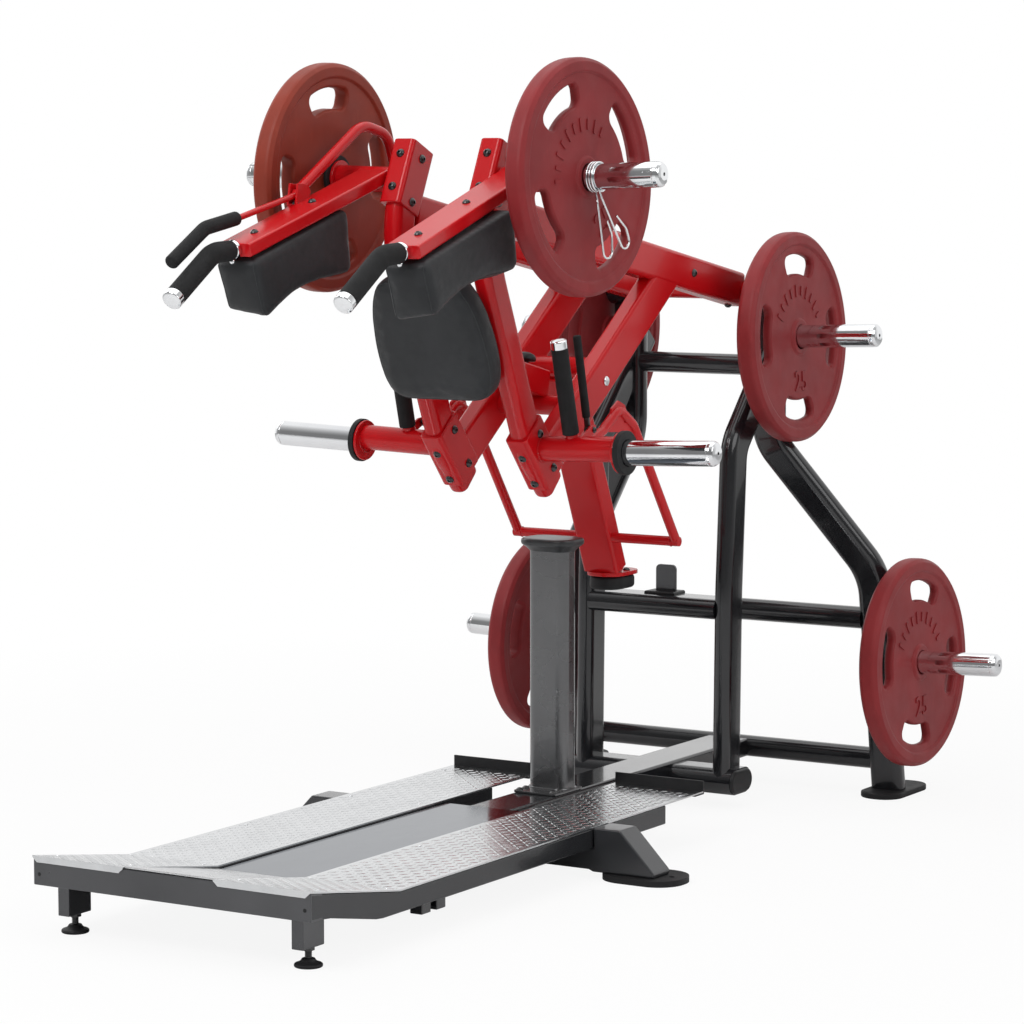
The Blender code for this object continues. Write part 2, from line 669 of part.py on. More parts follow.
# Rubber-coated plates
def plate(name, s, spec, turn, carrier=None, yaw=0.0, stand_off=0.0):
    """A grip plate: hub, thin web, raised rim and four finger slots. yaw is its lean on the sleeve."""
    face, y, z, tip = spec
    axis = Matrix.Rotation(s * yaw, 3, "Z") @ horn_axis(s)
    play = PLATE_BORE * math.cos(math.pi / PLATE_SIDES) - HORN_RADIUS - PLATE_THICK / 2 * math.tan(abs(yaw))
    base = Vector((s * face, y, z - play + GAP)) + horn_axis(s) * (stand_off + PLATE_THICK / 2)
    base -= axis * PLATE_THICK / 2
    ahead = Vector((axis.y, -axis.x, 0.0)).normalized() * s
    up = ahead.cross(axis) * s
    t = PLATE_THICK
    half = [(0.0, PLATE_BORE), (0.0, 0.050), (0.006, 0.057), (0.006, 0.194), (0.0, 0.202), (0.0, 0.2195),
            (0.005, PLATE_RADIUS)]
    far_half = [(t - d, r) for d, r in half[::-1]]
    disc = lathe(name, half + far_half, base, axis, PLATE_SIDES, True)
    arc = [math.radians(a) for a in (-25.0, -9.0, 9.0, 25.0)]
    outline = [(r, a) for r, a in zip((0.168, 0.1785, 0.1785, 0.168), arc)]
    outline += [(r, a) for r, a in zip((0.146, 0.1355, 0.1355, 0.146), arc[::-1])]
    place = frame_at(base, ahead, up, ahead.cross(up))
    for k in range(4):
        start = turn + k * math.pi / 2
        slot = [(r * math.sin(a + start), r * math.cos(a + start)) for r, a in outline]
        carve(disc, prism("slot", slot, place, -0.08, 0.08))
    return keep(disc, name, "plate", (s * face, y, z), carrier)


for s, tag in ((1, "near"), (-1, "far")):
    plate("rack_plate_top_" + tag, s, RACK_TOP, math.radians(-3.0))
    plate("rack_plate_low_" + tag, s, RACK_LOW, math.radians(-10.0), None, math.radians(-1.2), 0.0010)
plate("load_plate_near", 1, LOAD_HORN, math.radians(31.5), LEVER, math.radians(-3.0), 0.0026)
plate("load_plate_far", -1, LOAD_HORN, math.radians(8.0), LEVER)


# Lever: two side frames
def on_beam(y, drop=0.0376):
    return 1.215 + BEAM_SLOPE * (y - 1.475) - drop


def beam(s, amount=0.0):
    size = grown(BEAM_SIZE, amount)
    path = yz([(0.926, on_beam(0.926)), (PIVOT_Y, on_beam(PIVOT_Y))], s * FRAME_X)
    return sweep("beam_form", path, rounded(*size, 0.010))


def side_tube(s, amount=0.0):
    size = grown(SIDE_SIZE, amount)
    path = rounded_path(yz(SIDE_PATH, s * FRAME_X), [0.25, 0.16], 4)
    path[0] += (path[0] - path[1]).normalized() * amount
    path[-1] += (path[-1] - path[-2]).normalized() * amount
    return sweep("side_form", path, rounded(*size, 0.016, 2))


def along(start, end, t):
    return tuple(a + (b - a) * t for a, b in zip(start, end))


def clamp(s, start, end, shift, size):
    """A sleeve that holds the side tube, drawn as a bar; the tube is cut out of it afterwards."""
    a = Vector(start)
    b = Vector(end)
    out = Vector((-(b - a).normalized()[1], (b - a).normalized()[0])) * shift
    path = yz([tuple(a + out), tuple(b + out)], s * FRAME_X)
    return sweep("clamp_form", path, rounded(*size, 0.012), soft=0.003)


sleeve = lathe("sleeve", [(-SLEEVE_HALF, SHAFT_RADIUS + GAP), (-SLEEVE_HALF, SLEEVE_RADIUS),
                          (SLEEVE_HALF, SLEEVE_RADIUS), (SLEEVE_HALF, SHAFT_RADIUS + GAP)],
               (0.0, PIVOT_Y, PIVOT_Z), (1, 0, 0), 16, True)
keep(sleeve, "pivot_sleeve", "red", (0.0, PIVOT_Y, PIVOT_Z), LEVER)
strut_line = ((1.592, 1.1515), (1.098, 0.7905))
top_dir = along(SIDE_PATH[0], SIDE_PATH[1], 0.01), along(SIDE_PATH[0], SIDE_PATH[1], 0.72)
low_a = (1.020, 0.856)
low_b = (1.123, 0.735)


def stub(s, spot, start, end, axis):
    return pin("stub", (s * start, *spot), axis, end - start, STUB_RADIUS, 16)


def stub_space(s, start, length):
    """The clearance round the stub that carries the load horn."""
    y, z = LOAD_HORN[1:3]
    drop = STUB_DROP + 0.01 * math.tan(HORN_TILT)
    return pin("stub_space", (s * start, y, z - drop), horn_axis(s), length, STUB_RADIUS + GAP, 16)


def disc(s, spot, at, thick, radius):
    return pin("disc", (s * at, *spot), horn_axis(s), thick, radius, 20, 0.001)


for s, tag in ((1, "near"), (-1, "far")):
    bar = beam(s)
    grip_up = clamp(s, *top_dir, 0.001, (0.049, 0.079))
    spot = LOAD_HORN[1:3]
    stub_up = stub(s, (spot[0], spot[1] - STUB_DROP), 0.110, 0.254, horn_axis(s))
    join(bar, grip_up, stub_up, disc(s, spot, 0.252, 0.0144, FLANGE))
    cut = pin("sleeve_cut", (-0.2, PIVOT_Y, PIVOT_Z), (1, 0, 0), 0.4, SLEEVE_RADIUS + GAP, 20)
    carve(bar, side_tube(s, GAP), cut)
    keep(bar, "lever_beam_" + tag, "red", (0.0, PIVOT_Y, PIVOT_Z), LEVER)
    face, y, z, tip = LOAD_HORN
    length = tip - face
    profile = [(0.0002, 0.0), (0.0002, HORN_RADIUS), (length - 0.008, HORN_RADIUS),
               (length - 0.002, HORN_RADIUS - 0.003), (length, HORN_RADIUS - 0.008), (length, 0.0)]
    keep(lathe("load_horn", profile, (s * face, y, z), horn_axis(s), 18), "load_horn_" + tag, "chrome",
         (s * face, y, z), LEVER)

    strut = sweep("strut", yz(strut_line, s * FRAME_X), rounded(*STRUT_SIZE, 0.009))
    grip_low = clamp(s, low_a, low_b, 0.003, (0.050, 0.080))
    lug_outline = [
        (1.075, 0.832), (1.105, 0.838), (1.128, 0.848), (1.124, 0.862), (1.106, 0.860), (1.065, 0.838)]
    lug = slab("lug", lug_outline, "yz", *sorted((s * (GRIP_X + 0.009), s * (GRIP_X + 0.014))))
    stub_low = stub(s, CROSS_LOW, 0.110, 0.296, (s, 0.0, 0.0))
    join(strut, grip_low, stub_low, disc(s, CROSS_LOW, 0.295, 0.006, FLANGE), lug)
    carve(strut, side_tube(s, GAP), beam(s, GAP))
    keep(strut, "lever_strut_" + tag, "red", (0.0, PIVOT_Y, PIVOT_Z), LEVER)
    keep(side_tube(s), "side_tube_" + tag, "red", (0.0, PIVOT_Y, PIVOT_Z), LEVER)
    length = LOW_HORN_TIP - LOW_HORN_FACE
    profile = [(0.0, 0.0), (0.0, 0.0435), (0.012, 0.0435), (0.012, 0.025), (length - 0.007, 0.025),
               (length - 0.002, 0.022), (length, 0.017), (length, 0.0)]
    root = (s * LOW_HORN_FACE, *CROSS_LOW)
    keep(lathe("front_horn", profile, root, horn_axis(s), 20), "front_horn_" + tag, "chrome", root, LEVER)


# Mast, bumper and the rod brace round it
tie = round_tube(TIE, FRAME_INSIDE, 0.0, 0.024)
mast = sweep("mast", yz([MAST_TOP, MAST_FOOT]), rounded(0.083, 0.044, 0.006, 2))
flange_outline = [(-0.042, 1.484), (0.042, 1.484), (0.042, 1.572)]
flange_outline += [(0.042 * math.cos(math.radians(a)), 1.572 + 0.036 * math.sin(math.radians(a)))
                   for a in (20, 45, 70, 90, 110, 135, 160)] + [(-0.042, 1.572)]
foot_flange = slab("flange", flange_outline, "xy", 0.512, 0.5205)
gusset = slab("gusset", [(1.505, 0.516), (1.590, 0.516), (1.580, 0.526), (1.500, 0.615)], "yz", -0.004, 0.004)
legs = []
for s in (1, -1):
    path = rounded_path(yz(BRACE_PATH, s * BRACE_X), 0.028, 2)
    legs.append(rod("brace_leg", path, BRACE_RADIUS, 8))
bar = pin("brace_bar", (-BRACE_X - 0.009, 1.476, 0.598), (1, 0, 0), 2 * BRACE_X + 0.018, BRACE_RADIUS, 10)
join(mast, foot_flange, gusset, bar, *legs, tie)
cuts = [pin("stub_cut", (s * 0.12, *CROSS_LOW), (s, 0, 0), 0.2, STUB_RADIUS + GAP, 16) for s in (1, -1)]
carve(mast, *cuts)
keep(mast, "mast_and_brace", "red", (0.0, PIVOT_Y, PIVOT_Z), LEVER)
shape = [(-0.038, 1.488), (0.038, 1.488), (0.038, 1.566)]
shape += [(0.038 * math.cos(math.radians(a)), 1.566 + 0.034 * math.sin(math.radians(a)))
          for a in (20, 45, 70, 90, 110, 135, 160)] + [(-0.038, 1.566)]
bumper = soften(slab("bumper", shape, "xy", 0.483, 0.512 - GAP), 0.008, 2, 50.0)
keep(bumper, "rubber_bumper", "rubber", (0.0, PIVOT_Y, PIVOT_Z), LEVER)

# Shoulder arms, their pads and handles
for s, tag in ((1, "near"), (-1, "far")):
    start = (s * ARM_FRONT[0], *ARM_FRONT[1:])
    end = (s * ARM_REAR[0], *ARM_REAR[1:])
    arm = sweep("arm", [start, end], rounded(*ARM_SIZE, 0.005), soft=0.002)
    carve(arm, stub_space(s, 0.10, 0.16))
    keep(arm, "shoulder_arm_" + tag, "red", (0.0, PIVOT_Y, PIVOT_Z), LEVER)
    centre_x = s * PAD_X
    outline = even_outline([
        (0.463, 1.188), (0.480, 1.2005), (0.620, 1.2445), (0.764, 1.2895), (0.780, 1.280), (0.788, 1.230),
        (0.795, 1.182), (0.782, 1.173), (0.740, 1.166), (0.690, 1.161), (0.640, 1.151), (0.600, 1.139),
        (0.560, 1.120), (0.520, 1.099), (0.505, 1.096), (0.497, 1.103), (0.480, 1.144)], 26)

    def lean(a, b, d, s=s, cx=centre_x):
        """The underside sits lower on the neck side."""
        low = min(1.0, max(0.0, (1.2445 + 0.314 * (a - 0.62) - b) / 0.10))
        return cx + d, a, b - 0.014 * low * (0.5 - s * d / PAD_WIDTH)

    pad = cushion("shoulder_pad", outline, PAD_WIDTH - 0.004, 0.009, 0.002, lean)
    keep(pad, "shoulder_pad_" + tag, "vinyl", (centre_x, 0.62, 1.19), LEVER)
    back = (Vector(start) - Vector(end)).normalized()
    root = Vector(start) + back * (0.001 + GAP) + Vector((0.0, 0.0, 0.003))
    bend = (centre_x, 0.400, 1.2080)
    path = [root] + rounded_path([root + back * 0.010, bend, (centre_x, 0.272, 1.1230)], 0.070, 4)
    handle = rod("handle", path, 0.0195, 12, soft=0.004)
    keep(handle, "handle_" + tag, "rubber", (centre_x, 0.4645, 1.215), LEVER)
    grip = rod("grip", [(s * GRIP_X, 1.0540, 0.8395), (s * GRIP_X, 1.0030, 1.0330)], 0.0165, 16, soft=0.003)
    carve(grip, pin("grip_cut", (s * 0.12, *CROSS_LOW), (s, 0, 0), 0.2, STUB_RADIUS + GAP, 16))
    keep(grip, "grip_" + tag, "rubber", (s * GRIP_X, *CROSS_LOW), LEVER)
    lever_bar = rod("squeeze", [(s * GRIP_X, SQUEEZE_AXIS[0] + 0.0012, SQUEEZE_AXIS[1] - 0.0052),
                                (s * GRIP_X, 1.0735, 1.0380)], 0.0082, 10, soft=0.002)
    keep(lever_bar, "squeeze_lever_" + tag, "black", (s * GRIP_X, *SQUEEZE_AXIS), LEVER)

# Back pad on its bracket
width, height, thick = BACK_PAD
normal = Vector((0.0, math.cos(BACK_TILT), math.sin(BACK_TILT)))
rise = Vector((0.0, -math.sin(BACK_TILT), math.cos(BACK_TILT)))
centre = Vector((0.0, *BACK_CENTRE))
half_w = width / 2 - 0.002
side_line = [
    (0.36, 0.5), (0.58, 0.492), (0.74, 0.455), (0.85, 0.36), (0.94, 0.22), (0.985, 0.05), (1.0, -0.08),
    (0.995, -0.20), (0.96, -0.32), (0.88, -0.42), (0.74, -0.475), (0.56, -0.496), (0.40, -0.5)]
side_line = [(half_w * a, height * b) for a, b in side_line]
outline = even_outline(side_line + [(-a, b) for a, b in side_line[::-1]], 26)
pad = cushion("back_pad", outline, thick - 0.008, 0.016, 0.004,
              lambda a, b, d: centre + Vector((a, 0, 0)) + rise * b + normal * d)
keep(pad, "back_pad", "vinyl", centre, LEVER)
rear = centre + normal * (thick / 2 + 0.0003)
plate_path = [rear, rear + normal * 0.006]
backing = sweep("backing", plate_path, rounded(0.110, 0.150, 0.008), soft=0.001)
stalk = sweep("stalk", yz([(0.905, 1.0300), (1.000, 0.984), (1.236, 0.930)]), rounded(0.060, 0.056, 0.005, 2))
cross = round_tube((1.232, 0.888), FRAME_INSIDE, 0.0, 0.020)
carve(stalk, sweep("pad_space", [centre - normal * 0.06, rear], rounded(0.30, 0.30, 0.001)))
knob_profile = [
    (0.0, 0.0), (0.0, 0.007), (0.012, 0.007), (0.014, 0.020), (0.022, 0.021), (0.029, 0.014), (0.031, 0.0)]
knob = lathe("knob", knob_profile, (0.0, 1.190, 0.965), (0.0, 0.22, 0.975), 20)
join(backing, stalk, cross, knob)
keep(backing, "back_pad_bracket", "red", centre, LEVER)

# Release handle and the guard hoop on the far side
path = rounded_path(yz([(0.305, 1.192), (0.408, 1.253), (0.520, 1.272), RELEASE_AXIS], RELEASE_X), 0.05, 3)
release = rod("release", path, 0.0060, 8, soft=0.001)
sheath_path = rounded_path(yz([(0.303, 1.191), (0.408, 1.253), (0.507, 1.270)], RELEASE_X), 0.05, 3)
sheath = rod("sheath", sheath_path, 0.0135, 10, soft=0.004)
eye = pin("eye", (RELEASE_X - 0.006, *RELEASE_AXIS), (1, 0, 0), 0.012, 0.010, 16)
join(release, sheath, eye)
keep(release, "release_handle", "rubber", (RELEASE_X, *RELEASE_AXIS), LEVER)
path = rounded_path(yz(HOOP_PATH, HOOP_X), [0.080, 0.055, 0.018, 0.018], 3)
hoop = rod("hoop", path, 0.0108, 8)
lug_outline = [(0.682, 1.292), (0.718, 1.292), (0.732, 1.318), (0.722, 1.332), (0.690, 1.334)]
lug = slab("hoop_lug", lug_outline, "yz", -0.2215, -0.2163)
strap = block("hoop_strap", (-0.2215, 0.684, 1.281), (-0.1875, 0.716, 1.2955))
join(hoop, lug, strap)
arm_cut = sweep("arm_cut", [(-ARM_FRONT[0], *ARM_FRONT[1:]), (-ARM_REAR[0], *ARM_REAR[1:])],
                rounded(*grown(ARM_SIZE), 0.005))
carve(hoop, stub_space(-1, 0.10, 0.16), arm_cut)
keep(hoop, "guard_hoop", "red", (0.0, PIVOT_Y, PIVOT_Z), LEVER)


# Spring collar outside the near load plate
def collar_path():
    face, y, z, tip = LOAD_HORN
    axis = horn_axis(1)
    base = Vector((face, y, z)) + axis * (PLATE_THICK + 0.0085)
    up = (Vector((0, 0, 1)) - axis * axis.z).normalized()
    fore = axis.cross(up)
    steps = 32
    sweep_angle = 3 * math.tau + 0.7
    radius = (HORN_RADIUS + 0.0027) / math.cos(sweep_angle / steps / 2)
    coil = []
    for i in range(steps + 1):
        turn = sweep_angle * i / steps - math.pi / 2 - 0.35
        lift = 0.0058 * sweep_angle / math.tau * i / steps
        coil.append(base + axis * lift + fore * radius * math.cos(turn) + up * radius * math.sin(turn))
    first = coil[0]
    last = coil[-1]

    def loop(start, lean, out):
        return [start + fore * (lean * 0.35) - up * 0.020 + axis * out,
                start + fore * lean - up * 0.078 + axis * (out * 3),
                start + fore * (lean + 0.010) - up * 0.088 + axis * (out * 3.4),
                start + fore * (lean + 0.021) - up * 0.078 + axis * (out * 3.2),
                start + fore * (lean * 0.6 + 0.016) - up * 0.030 + axis * (out * 1.4)]

    return loop(first, -0.022, 0.001)[::-1] + coil + loop(last, 0.012, 0.006)


collar = rod("collar", collar_path(), 0.0022, 6)
keep(collar, "spring_collar", "chrome", (LOAD_HORN[0] + 0.05, *LOAD_HORN[1:3]), LEVER)

for obj in PART.objects:
    if obj.type == "MESH":
        for polygon in obj.data.polygons:
            polygon.use_smooth = True
        obj.data.set_sharp_from_angle(angle=math.radians(32.0))
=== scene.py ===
import bpy
import bmesh
from math import atan, cos, hypot, pi, radians, sin, tan, tau
from mathutils import Matrix, Vector
from mathutils.bvhtree import BVHTree


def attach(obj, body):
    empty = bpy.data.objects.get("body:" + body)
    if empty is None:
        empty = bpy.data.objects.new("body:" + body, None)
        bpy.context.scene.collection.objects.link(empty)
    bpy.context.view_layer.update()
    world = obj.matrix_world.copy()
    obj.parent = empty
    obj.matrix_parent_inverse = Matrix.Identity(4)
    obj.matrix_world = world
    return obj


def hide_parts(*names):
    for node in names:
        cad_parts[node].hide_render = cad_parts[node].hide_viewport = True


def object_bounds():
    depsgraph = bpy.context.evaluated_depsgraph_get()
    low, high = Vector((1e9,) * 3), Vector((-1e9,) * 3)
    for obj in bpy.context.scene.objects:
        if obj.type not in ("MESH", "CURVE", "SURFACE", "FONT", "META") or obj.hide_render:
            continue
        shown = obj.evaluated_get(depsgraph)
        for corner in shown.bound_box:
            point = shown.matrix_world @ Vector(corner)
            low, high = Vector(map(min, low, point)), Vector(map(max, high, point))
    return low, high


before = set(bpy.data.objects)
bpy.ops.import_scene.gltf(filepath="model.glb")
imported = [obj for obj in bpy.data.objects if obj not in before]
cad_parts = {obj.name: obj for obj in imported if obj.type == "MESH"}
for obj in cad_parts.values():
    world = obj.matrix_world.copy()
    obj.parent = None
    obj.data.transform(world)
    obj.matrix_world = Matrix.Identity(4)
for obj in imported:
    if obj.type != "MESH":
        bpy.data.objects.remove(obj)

CAD_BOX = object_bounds()
FRONT = CAD_BOX[0][1]
SIDES = ((1, "near"), (-1, "far"))
GAP = 0.0003
UP = (0.0, 0.0, 1.0)
ACROSS = (1.0, 0.0, 0.0)

# Sizes shared with the frame, in metres, with Y counted from the platform's front edge
DECK_HALF = 0.301
DECK_TOP = 0.100
DECK_FRONT_TOP = 0.146
DECK_CREASE_Y = 0.277
DECK_REAR_Y = 1.395
DECK_SLOPE = (DECK_FRONT_TOP - DECK_TOP) / DECK_CREASE_Y
SHEET = 0.003
PANEL_HALF = 0.097
PANEL_TOP = 0.0946
PANEL_REAR_Y = 1.040
FRAME_X = 0.099
PIVOT = (1.910, 1.100)
HORN_RADIUS = 0.0245
HORN_TILT = radians(2.0)
LOAD_HORN = (0.2665, 0.914, 1.344, 0.472)
RACK_TOP = (0.2125, 1.912, 1.002, 0.440)
RACK_LOW = (0.4445, 2.041, 0.2985, 0.668)
CROSS_LOW = (1.060, 0.815)
PLATE_RADIUS = 0.225
PLATE_THICK = 0.043
PLATE_BORE = 0.0262
WEB_DEPTH = 0.0045
SIDE_PATH = ((0.9405, 1.4065), (0.862, 1.235), (1.043, 0.818), (1.100, 0.754))
ARM_FRONT = (0.185, 0.465, 1.2119)
ARM_REAR = (0.1635, 0.898, 1.3480)
BRACE_X = 0.190
GRIP_X = 0.190
PAD_X = 0.187
POST_Y = 1.300
UPRIGHT_X = 0.169
COLUMN_PATH = ((0.172, 1.924, 1.100), (0.172, 1.924, 0.780), (0.374, 2.036, 0.486), (0.400, 2.066, 0.006))


def horn_axis(s):
    return Vector((s * cos(HORN_TILT), 0.0, sin(HORN_TILT)))


# Node materials
class Nodes:
    """A node tree under construction: an output is wired to its socket, and any other value is set on it."""

    def __init__(self, owner):
        owner.use_nodes = True
        self.tree = owner.node_tree

    def feed(self, socket, value):
        if isinstance(value, bpy.types.NodeSocket):
            self.tree.links.new(value, socket)
        elif value is not None:
            socket.default_value = value

    def add(self, kind, values, **settings):
        """Add a node with values for its sockets, by name or by number, and return its outputs."""
        node = self.tree.nodes.new("ShaderNode" + kind)
        for key, setting in settings.items():
            setattr(node, key, setting)
        for socket, value in values.items():
            self.feed(node.inputs[socket], value)
        return node.outputs


class Finish(Nodes):
    """The material of a surface, with short names for the patterns it needs."""

    def __init__(self, name, colour, metallic, roughness):
        self.mat = bpy.data.materials.new(name)
        super().__init__(self.mat)
        self.set("Base Color", (*colour, 1.0))
        self.set("Metallic", metallic)
        self.set("Roughness", roughness)
        self.spot = self.add("TexCoord", {})["Object"]
        self.normal = None

    def set(self, socket, value):
        self.feed(self.tree.nodes["Principled BSDF"].inputs[socket], value)

    def noise(self, scale, detail=2.0, stretch=(1.0, 1.0, 1.0), roughness=0.5):
        spot = self.add("Mapping", {"Vector": self.spot, "Scale": stretch})[0]
        values = {"Vector": spot, "Scale": scale, "Detail": detail, "Roughness": roughness}
        return self.add("TexNoise", values)["Fac"]

    def cells(self, scale):
        return self.add("TexVoronoi", {"Vector": self.spot, "Scale": scale})["Distance"]

    def ramp(self, source, low, high, start=0.3, end=0.7):
        """Blend two values or two colours by a factor between start and end."""
        plain = isinstance(low, float)
        least, most = (low, high) if plain else (0.0, 1.0)
        share = self.add("MapRange", {0: source, 1: start, 2: end, 3: least, 4: most})[0]
        return share if plain else self.blend(share, low, high)

    def blend(self, factor, low, high):
        low, high = ((*c, 1.0) if isinstance(c, tuple) else c for c in (low, high))
        return self.add("Mix", {0: factor, 6: low, 7: high}, data_type="RGBA")[2]

    def bump(self, height, distance):
        values = {"Distance": distance, "Height": height, "Normal": self.normal}
        self.normal = self.add("Bump", values)["Normal"]
        self.set("Normal", self.normal)


def painted(name, colour, shade, roughness, metallic=0.0, coat=0.6, peel=0.00012, specular=0.5):
    """Powder coat: a slight orange peel, faint patches, fine scuffs and dust specks."""
    f = Finish(name, colour, metallic, roughness)
    patches = f.ramp(f.noise(5.0, 3.0), shade, colour)
    specks = f.ramp(f.cells(160.0), 0.10, 0.0, 0.02, 0.07)
    bright = tuple(min(1.0, c * 1.2 + 0.02) for c in colour)
    f.set("Base Color", f.blend(specks, patches, bright))
    f.set("Roughness", f.ramp(f.noise(14.0, 3.0, (1.0, 0.5, 1.0)), roughness * 0.9, roughness * 1.12))
    f.set("Specular IOR Level", specular)
    f.set("Coat Weight", coat)
    f.set("Coat Roughness", 0.06)
    f.bump(f.noise(420.0, 2.0), peel)
    return f.mat


def chromed(name):
    f = Finish(name, (0.80, 0.81, 0.83), 1.0, 0.06)
    f.set("Roughness", f.ramp(f.noise(40.0, 5.0, (1.0, 6.0, 6.0)), 0.04, 0.11))
    f.set("Base Color", f.ramp(f.noise(9.0, 2.0), (0.74, 0.75, 0.77), (0.86, 0.87, 0.88)))
    f.bump(f.noise(600.0, 1.0, (0.2, 1.0, 1.0)), 0.00002)
    return f.mat


def rubbery(name, colour, roughness=0.6, grain=900.0, depth=0.00018, light=1.35):
    """Moulded rubber: fine grain, dull patches and paler scuffs."""
    f = Finish(name, colour, 0.0, roughness)
    pale = tuple(min(1.0, c * light + 0.004) for c in colour)
    dark = tuple(c * 0.86 for c in colour)
    patches = f.ramp(f.noise(11.0, 4.0), dark, tuple(c * 1.08 for c in colour))
    scuffs = f.ramp(f.noise(42.0, 5.0, (1.0, 1.0, 0.35), 0.7), 0.0, 0.5, 0.56, 0.80)
    f.set("Base Color", f.blend(scuffs, patches, pale))
    f.set("Roughness", f.ramp(f.noise(25.0, 3.0), roughness * 0.88, roughness * 1.1))
    f.set("Specular IOR Level", 0.32)
    f.bump(f.noise(grain, 3.0), depth)
    return f.mat


def vinyl(name):
    """Upholstery vinyl: pebbled grain with soft creases."""
    f = Finish(name, (0.017, 0.018, 0.020), 0.0, 0.46)
    f.set("Base Color", f.ramp(f.noise(14.0, 3.0), (0.014, 0.0152, 0.0172), (0.020, 0.0215, 0.0240)))
    f.set("Specular IOR Level", 0.35)
    f.set("Roughness", f.ramp(f.noise(60.0, 2.0), 0.40, 0.54))
    f.set("Sheen Weight", 0.03)
    f.bump(f.noise(9.0, 2.0), 0.0012)
    f.bump(f.cells(900.0), 0.00028)
    return f.mat


def foam(name):
    f = Finish(name, (0.012, 0.012, 0.013), 0.0, 0.78)
    f.set("Specular IOR Level", 0.30)
    f.set("Base Color", f.ramp(f.noise(35.0, 4.0), (0.0095, 0.0095, 0.010), (0.016, 0.016, 0.017)))
    f.bump(f.cells(1400.0), 0.0004)
    f.bump(f.noise(2600.0, 2.0), 0.0002)
    return f.mat


def sheet_metal(name, dark, light, roughness, wave=0.0002):
    """Rolled aluminium: long faint streaks, scuffs and a fine grain."""
    f = Finish(name, light, 1.0, roughness)
    f.set("Base Color", f.ramp(f.noise(18.0, 4.0, (1.0, 0.4, 1.0)), dark, light))
    streaks = f.noise(60.0, 4.0, (1.0, 0.4, 1.0))
    f.set("Roughness", f.ramp(streaks, roughness * 0.75, roughness * 1.25))
    f.bump(f.noise(700.0, 3.0, (1.0, 0.5, 1.0)), 0.00001)
    f.bump(f.noise(26.0, 3.0), wave)
    return f.mat


# Painted shade: a near-black disc set in a recess or hole stands in for the shade inside it.
def painted_shade_disc(name):
    f = Finish(name, (0.006, 0.006, 0.007), 0.0, 0.7)
    f.set("Base Color", f.ramp(f.noise(200.0, 2.0), (0.004, 0.004, 0.004), (0.010, 0.010, 0.011)))
    return f.mat


RED = painted("red_powder_coat", (0.560, 0.0050, 0.0085), (0.500, 0.0040, 0.0070), 0.24,
              coat=0.10, peel=0.00008, specular=0.30)
BLACK = painted("black_powder_coat", (0.0145, 0.0150, 0.0175), (0.0100, 0.0105, 0.0125), 0.20, 0.25)
GRAPHITE = painted("graphite_powder_coat", (0.075, 0.076, 0.081), (0.055, 0.056, 0.060), 0.30, 0.75)
# Painted reflection: one glossy centre sheet gets two colours; this dark copy paints its reflection of the
# grey and dark above its flat rear part.
PANEL_DARK_REFLECTION = sheet_metal("panel_painted_dark_reflection", (0.108, 0.122, 0.142), (0.120, 0.135, 0.156), 0.10, 0.00003)
SEMI = painted("black_metal_fittings", (0.012, 0.012, 0.013), (0.008, 0.008, 0.009), 0.34, 0.1)
PLATE = rubbery("red_plate_rubber", (0.242, 0.0175, 0.0205), 0.50, 700.0, 0.00016, 1.35)
WARM_PLATE = rubbery("worn_plate_rubber", (0.250, 0.0300, 0.0135), 0.50, 700.0, 0.00016, 1.45)
RUBBER = rubbery("black_rubber", (0.011, 0.011, 0.012), 0.62)
SATIN_PLASTIC = rubbery("black_moulded_plastic", (0.011, 0.011, 0.012), 0.38)
CHROME = chromed("bright_chrome")
VINYL = vinyl("charcoal_vinyl")
VINYL_EDGE = rubbery("vinyl_seam", (0.030, 0.032, 0.035), 0.48, 1200.0, 0.00010)
FOAM = foam("black_foam")
TREAD = sheet_metal("tread_aluminium", (0.59, 0.60, 0.61), (0.66, 0.67, 0.68), 0.20, 0.00004)
# Painted reflection: the pale copy of the same glossy centre sheet paints its reflection of the white room on
# the front slope.
PANEL_WHITE_REFLECTION = sheet_metal("panel_painted_white_reflection", (0.56, 0.565, 0.575), (0.64, 0.645, 0.655), 0.30)
RAIL = painted("dark_rail_coat", (0.024, 0.025, 0.028), (0.018, 0.019, 0.022), 0.22, 0.3, 0.2)
CHARCOAL = painted("charcoal_coat", (0.034, 0.035, 0.039), (0.026, 0.027, 0.030), 0.34, 0.3)
CAP = painted("dark_cap_plastic", (0.026, 0.027, 0.029), (0.020, 0.021, 0.023), 0.36, 0.0, 0.1)
POST = painted("post_metallic_coat", (0.160, 0.160, 0.164), (0.125, 0.126, 0.130), 0.27, 0.85)
# Painted shade for the insides of holes and recesses.
SHADE_DISC = painted_shade_disc("painted_recess_shade")
STEEL = chromed("satin_steel")


# Shape tools; every point is written with Y counted from the platform's front edge
def solid(bm):
    bmesh.ops.recalc_face_normals(bm, faces=bm.faces)
    mesh = bpy.data.meshes.new("shape")
    bm.to_mesh(mesh)
    bm.free()
    obj = bpy.data.objects.new("shape", mesh)
    bpy.context.scene.collection.objects.link(obj)
    return obj


def evaluated(obj):
    bpy.context.view_layer.update()
    return bpy.data.meshes.new_from_object(obj.evaluated_get(bpy.context.evaluated_depsgraph_get()))


def baked(obj, placement):
    mesh = evaluated(obj)
    mesh.transform(placement)
    bpy.data.objects.remove(obj, do_unlink=True)
    bm = bmesh.new()
    bm.from_mesh(mesh)
    bpy.data.meshes.remove(mesh)
    bmesh.ops.remove_doubles(bm, verts=bm.verts, dist=0.000005)
    return solid(bm)


def frame_at(origin, u, v, w):
    return Matrix.Translation(origin) @ Matrix((u, v, w)).transposed().to_4x4()


def axes_of(axis):
    axis = Vector(axis).normalized()
    ref = Vector((0.0, 0.0, 1.0) if abs(axis.z) < 0.95 else (0.0, 1.0, 0.0))
    u = (ref - axis * ref.dot(axis)).normalized()
    return u, axis.cross(u), axis


